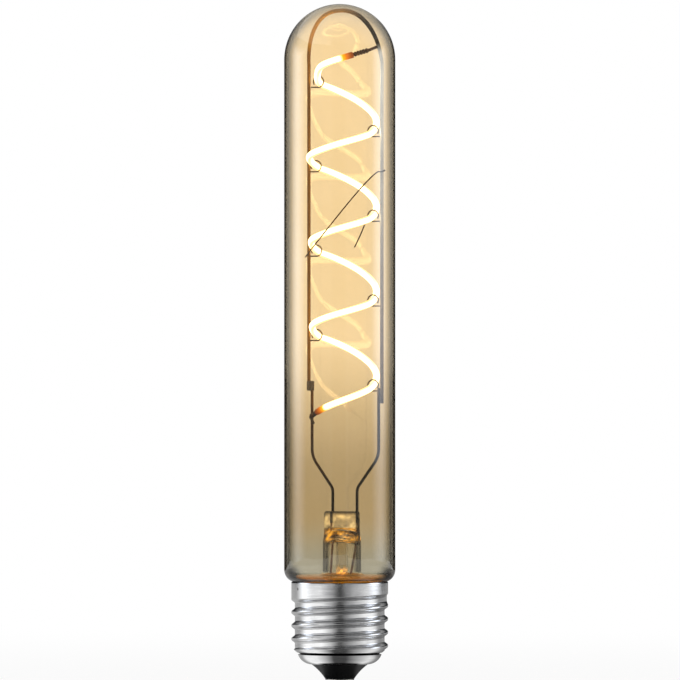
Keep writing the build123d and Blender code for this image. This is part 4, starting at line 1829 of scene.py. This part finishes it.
@dataclass(frozen=True)
class Card:
    """A reflector card that only reflections see, fading at its upright sides and its top."""

    name: str
    start: float
    end: float
    level: float
    fade_level: float
    fade: float = 0.001
    distance: float = 0.8
    low: float = 0.0
    high: float = 0.6
    low_share: float = 0.5
    low_fade: Span = (0.04, 0.2)
    top_fade: Span = (0.36, 0.8)
    tint: Colour = (0.9, 0.98, 1.12)

    @property
    def width(self) -> float:
        """Width of the card in metres."""
        return 2 * self.distance * math.tan(math.radians(abs(self.end - self.start)) / 2)

    def make_finish(self) -> Material:
        """Makes the card's even glow with soft sides.

        Returns:
            The material.
        """
        material, desk, glow = glowing_shade(self.name)
        across, height, _ = desk.split(desk.add("ShaderNodeTexCoord").outputs["UV"])
        from_middle = desk.math("ABSOLUTE", desk.minus(across, 0.5))
        side = desk.span(from_middle, 0.5 - self.fade, 0.5)
        top = desk.span(height, *self.top_fade)
        level = scaled(self.tint, self.level)
        face = desk.blend(desk.span(height, *self.low_fade), scaled(level, self.low_share), level)
        faded = scaled(WHITE, self.fade_level)
        desk.wire(glow, Color=desk.blend(desk.math("MAXIMUM", side, top), face, faded))
        return material

    def build(self) -> None:
        """Stands the card up; its angles are degrees from the camera, positive to the right."""
        deselect()
        middle = math.radians((self.start + self.end) / 2)
        bpy.ops.mesh.primitive_plane_add(size=1.0)
        card = bpy.context.object
        card.name = self.name
        card.scale = (self.width, self.high - self.low, 1)
        card.rotation_euler = (math.pi / 2, 0, middle)
        card.location = round_the_lamp(self.distance, middle, (self.low + self.high) / 2)
        settle(card)
        reflection_only(card, self.make_finish())


@dataclass(frozen=True)
class Lobe:
    """Light to one side of the cap, which rises from the front and falls behind."""

    sign: float
    reach: float
    top: float
    fall: float
    back: float
    fall_width: float = 36.0

    def make(self, desk: NodeDesk, angle: Socket, dark: float, front_level: float) -> Socket:
        """Adds the lobe's nodes.

        Args:
            desk: Desk of the shade.
            angle: Degrees from the camera, positive to the right.
            dark: Degrees to each side of the camera that stay dark.
            front_level: Level of the light in front.

        Returns:
            The light above the front's level.
        """
        side = desk.times(angle, self.sign)
        front = desk.math("DIVIDE", desk.minus(side, dark), self.reach, clamp=True)
        rise = desk.times(front, self.top - front_level)
        behind = desk.times(desk.span(side, self.fall, self.fall + self.fall_width), self.top - self.back)
        return desk.math("MAXIMUM", desk.minus(rise, behind), 0.0)


@dataclass
class CapLight:
    """The three reflectors that light the cap: a low ring, a disc on the floor and one overhead."""

    left: Lobe = Lobe(-1.0, 42.0, 1.58, 88.0, 0.5)
    right: Lobe = Lobe(1.0, 62.0, 1.30, 84.0, 0.37)
    front_level: float = 0.1
    radius: float = 150.0
    ring_low: float = 0.3
    ring_high: float = 25.5
    ring_dark: float = 3.0
    ring_steps: int = 96
    disc_steps: int = 64
    floor_level: float = 0.2
    floor_ring: float = 9.0
    floor_dark: float = 14.0
    floor_share: float = 0.8
    floor_inner: Span = (6.0, 8.5)
    floor_outer: Span = (22.0, 34.0)
    floor_left: Span = (10.0, -40.0)
    floor_left_share: float = 0.35
    floor_edge: float = 0.2
    overhead_level: float = 610.0
    overhead_radius: float = 900.0
    overhead_outer: Span = (700.0, 1000.0)
    overhead_outer_share: float = 0.15
    overhead_left: Span = (50.0, -500.0)
    overhead_left_share: float = 0.75
    overhead_shade: float = 0.22

    def lobes(self, desk: NodeDesk, place: Socket, dark: float) -> Socket:
        """Light round the cap: dark in front, bright at both sides, grey behind.

        Args:
            desk: Desk of the shade.
            place: Place on the reflector.
            dark: Degrees to each side of the camera that stay dark.

        Returns:
            The light's level.
        """
        across, depth, _ = desk.split(place)
        ahead = desk.times(depth, -1.0)
        angle = desk.times(desk.math("ARCTAN2", across, ahead), 180.0 / math.pi)
        levels = [lobe.make(desk, angle, dark, self.front_level) for lobe in (self.left, self.right)]
        return desk.plus(desk.math("MAXIMUM", *levels), self.front_level)

    def to_left(self, desk: NodeDesk, place: Socket, ends: Span, share: float) -> Socket:
        """Light that grows towards the left between two places in millimetres."""
        across, _, _ = desk.split(place)
        return desk.times(desk.span(across, *scaled(ends, MM)), share)

    def build_ring(self) -> None:
        """Stands the low ring that lights the cap's upright faces."""
        outline = [(self.radius, self.ring_low), (self.radius, self.ring_high)]
        card = turned("cap_ring_card", outline, self.ring_steps)
        material, desk, glow = glowing_shade("cap_ring_shade")
        desk.wire(glow, Strength=self.lobes(desk, desk.object_place(), self.ring_dark))
        reflection_only(card, material)

    def build_floor_disc(self) -> None:
        """Lays the disc for the cap's undersides, bright beside the bowl and dark further out."""
        outline = [(reach, self.floor_level) for reach in (0.0, self.floor_ring, self.radius)]
        card = turned("floor_card", outline, self.disc_steps)
        material, desk, glow = glowing_shade("floor_card_shade")
        place = desk.object_place()
        reach = desk.length(place)
        near, far = (desk.span(reach, *scaled(ends, MM)) for ends in (self.floor_inner, self.floor_outer))
        ring = desk.times(near, desk.inverse(far))
        bright = desk.times(desk.times(self.lobes(desk, place, self.floor_dark), ring), self.floor_share)
        left = self.to_left(desk, place, self.floor_left, self.floor_left_share)
        edge = desk.times(far, desk.plus(left, self.floor_edge))
        desk.wire(glow, Strength=desk.plus(bright, edge))
        reflection_only(card, material)

    def build_overhead(self) -> None:
        """Hangs the shaded disc over the lamp that the thread's upper slopes reflect."""
        outline = [(0.0, self.overhead_level), (self.overhead_radius, self.overhead_level)]
        card = turned("overhead_card", outline, self.disc_steps)
        material, desk, glow = glowing_shade("overhead_shade")
        place = desk.object_place()
        outer = desk.span(desk.length(place), *scaled(self.overhead_outer, MM))
        left = self.to_left(desk, place, self.overhead_left, self.overhead_left_share)
        light = desk.plus(desk.times(outer, self.overhead_outer_share), left)
        desk.wire(glow, Strength=desk.plus(light, self.overhead_shade))
        reflection_only(card, material)

    def build(self) -> None:
        """Builds the three reflectors in order."""
        self.build_floor_disc()
        self.build_ring()
        self.build_overhead()


@dataclass(frozen=True)
class Softbox:
    """A tall soft light beside the lamp that no reflection shows."""

    name: str
    azimuth: float
    width: float
    power: float
    distance: float = 0.85
    height: float = 0.35
    length: float = 0.9

    def build(self) -> None:
        """Stands the light up; its azimuth is degrees from the camera, positive to the right."""
        angle = math.radians(self.azimuth)
        light = bpy.data.lights.new(self.name, "AREA")
        light.shape = "RECTANGLE"
        light.size = self.width
        light.size_y = self.length
        light.energy = self.power
        lamp = stand(self.name, light, round_the_lamp(self.distance, angle, self.height), angle)
        hide_from(lamp, Ray.CAMERA, Ray.TRANSMISSION, Ray.GLOSSY)


@dataclass
class Studio:
    """Floor, background, soft lights and camera."""

    view_height: float = 93.7 * MM
    view_aside: float = 0.07 * MM
    distance: float = 2.2
    frame_height: float = 184.8 * MM
    sensor: float = 36.0
    clip_end: float = 20.0
    soft_light: float = 0.75
    floor_size: float = 6.0
    floor_colour: Colour = (0.92, 0.92, 0.92)
    floor_whiteness: float = 0.85
    floor_fade: Span = (0.08, 0.45)
    cap_light: CapLight = field(default_factory=CapLight)
    cards: Sequence[Card] = (
        Card("front_card", -20.0, 16.0, 0.015, 0.3, 0.2, distance=0.3, low=25.5 * MM, high=0.7),
        Card("right_glass_card", 16.0, 66.0, 0.2, 0.2),
        Card("right_streak_card", 66.0, 118.0, 4.0, 0.1, 0.49),
        Card("right_back_card", 118.0, 184.0, 0.015, 0.35),
        Card("left_glass_card", -70.0, -20.0, 0.22, 0.22),
        Card("left_streak_card", -120.0, -70.0, 3.3, 0.1, 0.49),
        Card("left_back_card", -184.0, -120.0, 0.015, 0.35),
    )
    softboxes: Sequence[Softbox] = (
        Softbox("left_softbox", -101.0, 0.22, 1.0), Softbox("right_softbox", 108.0, 0.18, 0.8))

    def seen_directly(self, desk: NodeDesk) -> Socket:
        """Mask of the camera's own rays and those by way of metal or glass.

        Args:
            desk: Desk of the tree.

        Returns:
            The mask.
        """
        path = desk.add("ShaderNodeLightPath")
        mirrored = desk.math("MAXIMUM", path.outputs["Is Camera Ray"], path.outputs["Is Glossy Ray"])
        return desk.math("MAXIMUM", mirrored, path.outputs["Is Transmission Ray"])

    def mix_shaders(self, desk: NodeDesk, mask: Socket, lit: Node, white: Node, out: Node) -> None:
        """Mixes the shader that lights the lamp with the one that is seen, by a mask."""
        mix = desk.add("ShaderNodeMixShader", mask, lit.outputs[0], white.outputs[0])
        desk.wire(out, Surface=mix.outputs[0])

    def build_background(self) -> None:
        """Sets the white background and the soft light round the lamp."""
        world = bpy.data.worlds.new("studio_white")
        bpy.context.scene.world = world
        desk = empty_tree(world)
        soft, white = (desk.add("ShaderNodeBackground", WHITE, level) for level in (self.soft_light, 1.0))
        self.mix_shaders(desk, self.seen_directly(desk), soft, white, desk.add("ShaderNodeOutputWorld"))

    def build_floor(self) -> None:
        """Lays the pale floor, white to the camera apart from the lamp's shadow."""
        deselect()
        bpy.ops.mesh.primitive_plane_add(size=self.floor_size, location=(0, 0, 0))
        floor = bpy.context.object
        floor.name = "studio_floor"
        settle(floor)
        material = bpy.data.materials.new("pale_floor")
        desk = empty_tree(material)
        matt = desk.add("ShaderNodeBsdfDiffuse", self.floor_colour)
        white = desk.add("ShaderNodeEmission", WHITE, 1.0)
        far = desk.span(desk.length(desk.object_place()), *self.floor_fade)
        whiteness = desk.plus(desk.times(far, 1.0 - self.floor_whiteness), self.floor_whiteness)
        mask = desk.times(self.seen_directly(desk), whiteness)
        self.mix_shaders(desk, mask, matt, white, desk.add("ShaderNodeOutputMaterial"))
        dress(floor, material)

    def build_camera(self) -> None:
        """Sets the camera at the photograph's height and angle."""
        camera = bpy.data.cameras.new("front_camera")
        camera.sensor_width = self.sensor
        camera.lens = self.sensor * self.distance / self.frame_height
        camera.clip_end = self.clip_end
        place = (self.view_aside, -self.distance, self.view_height)
        bpy.context.scene.camera = stand("front_camera", camera, place)

    def build(self) -> None:
        """Sets up the studio."""
        bpy.context.scene.view_settings.view_transform = "Standard"
        self.build_background()
        self.build_floor()
        self.cap_light.build()
        for card in self.cards:
            card.build()
        for softbox in self.softboxes:
            softbox.build()
        self.build_camera()


def main() -> None:
    """Builds the lamp's sub-assemblies and the studio in order."""
    place = MountPlace()
    wires = WireFrame(place)
    filament = SpiralFilament(place, wires)
    for part in (GlassTube(), ScrewCap(), Stem(place), wires, filament, Driver(), Studio()):
        part.build()
        log.info("%s done", type(part).__name__)


if __name__ == "__main__":
    main()
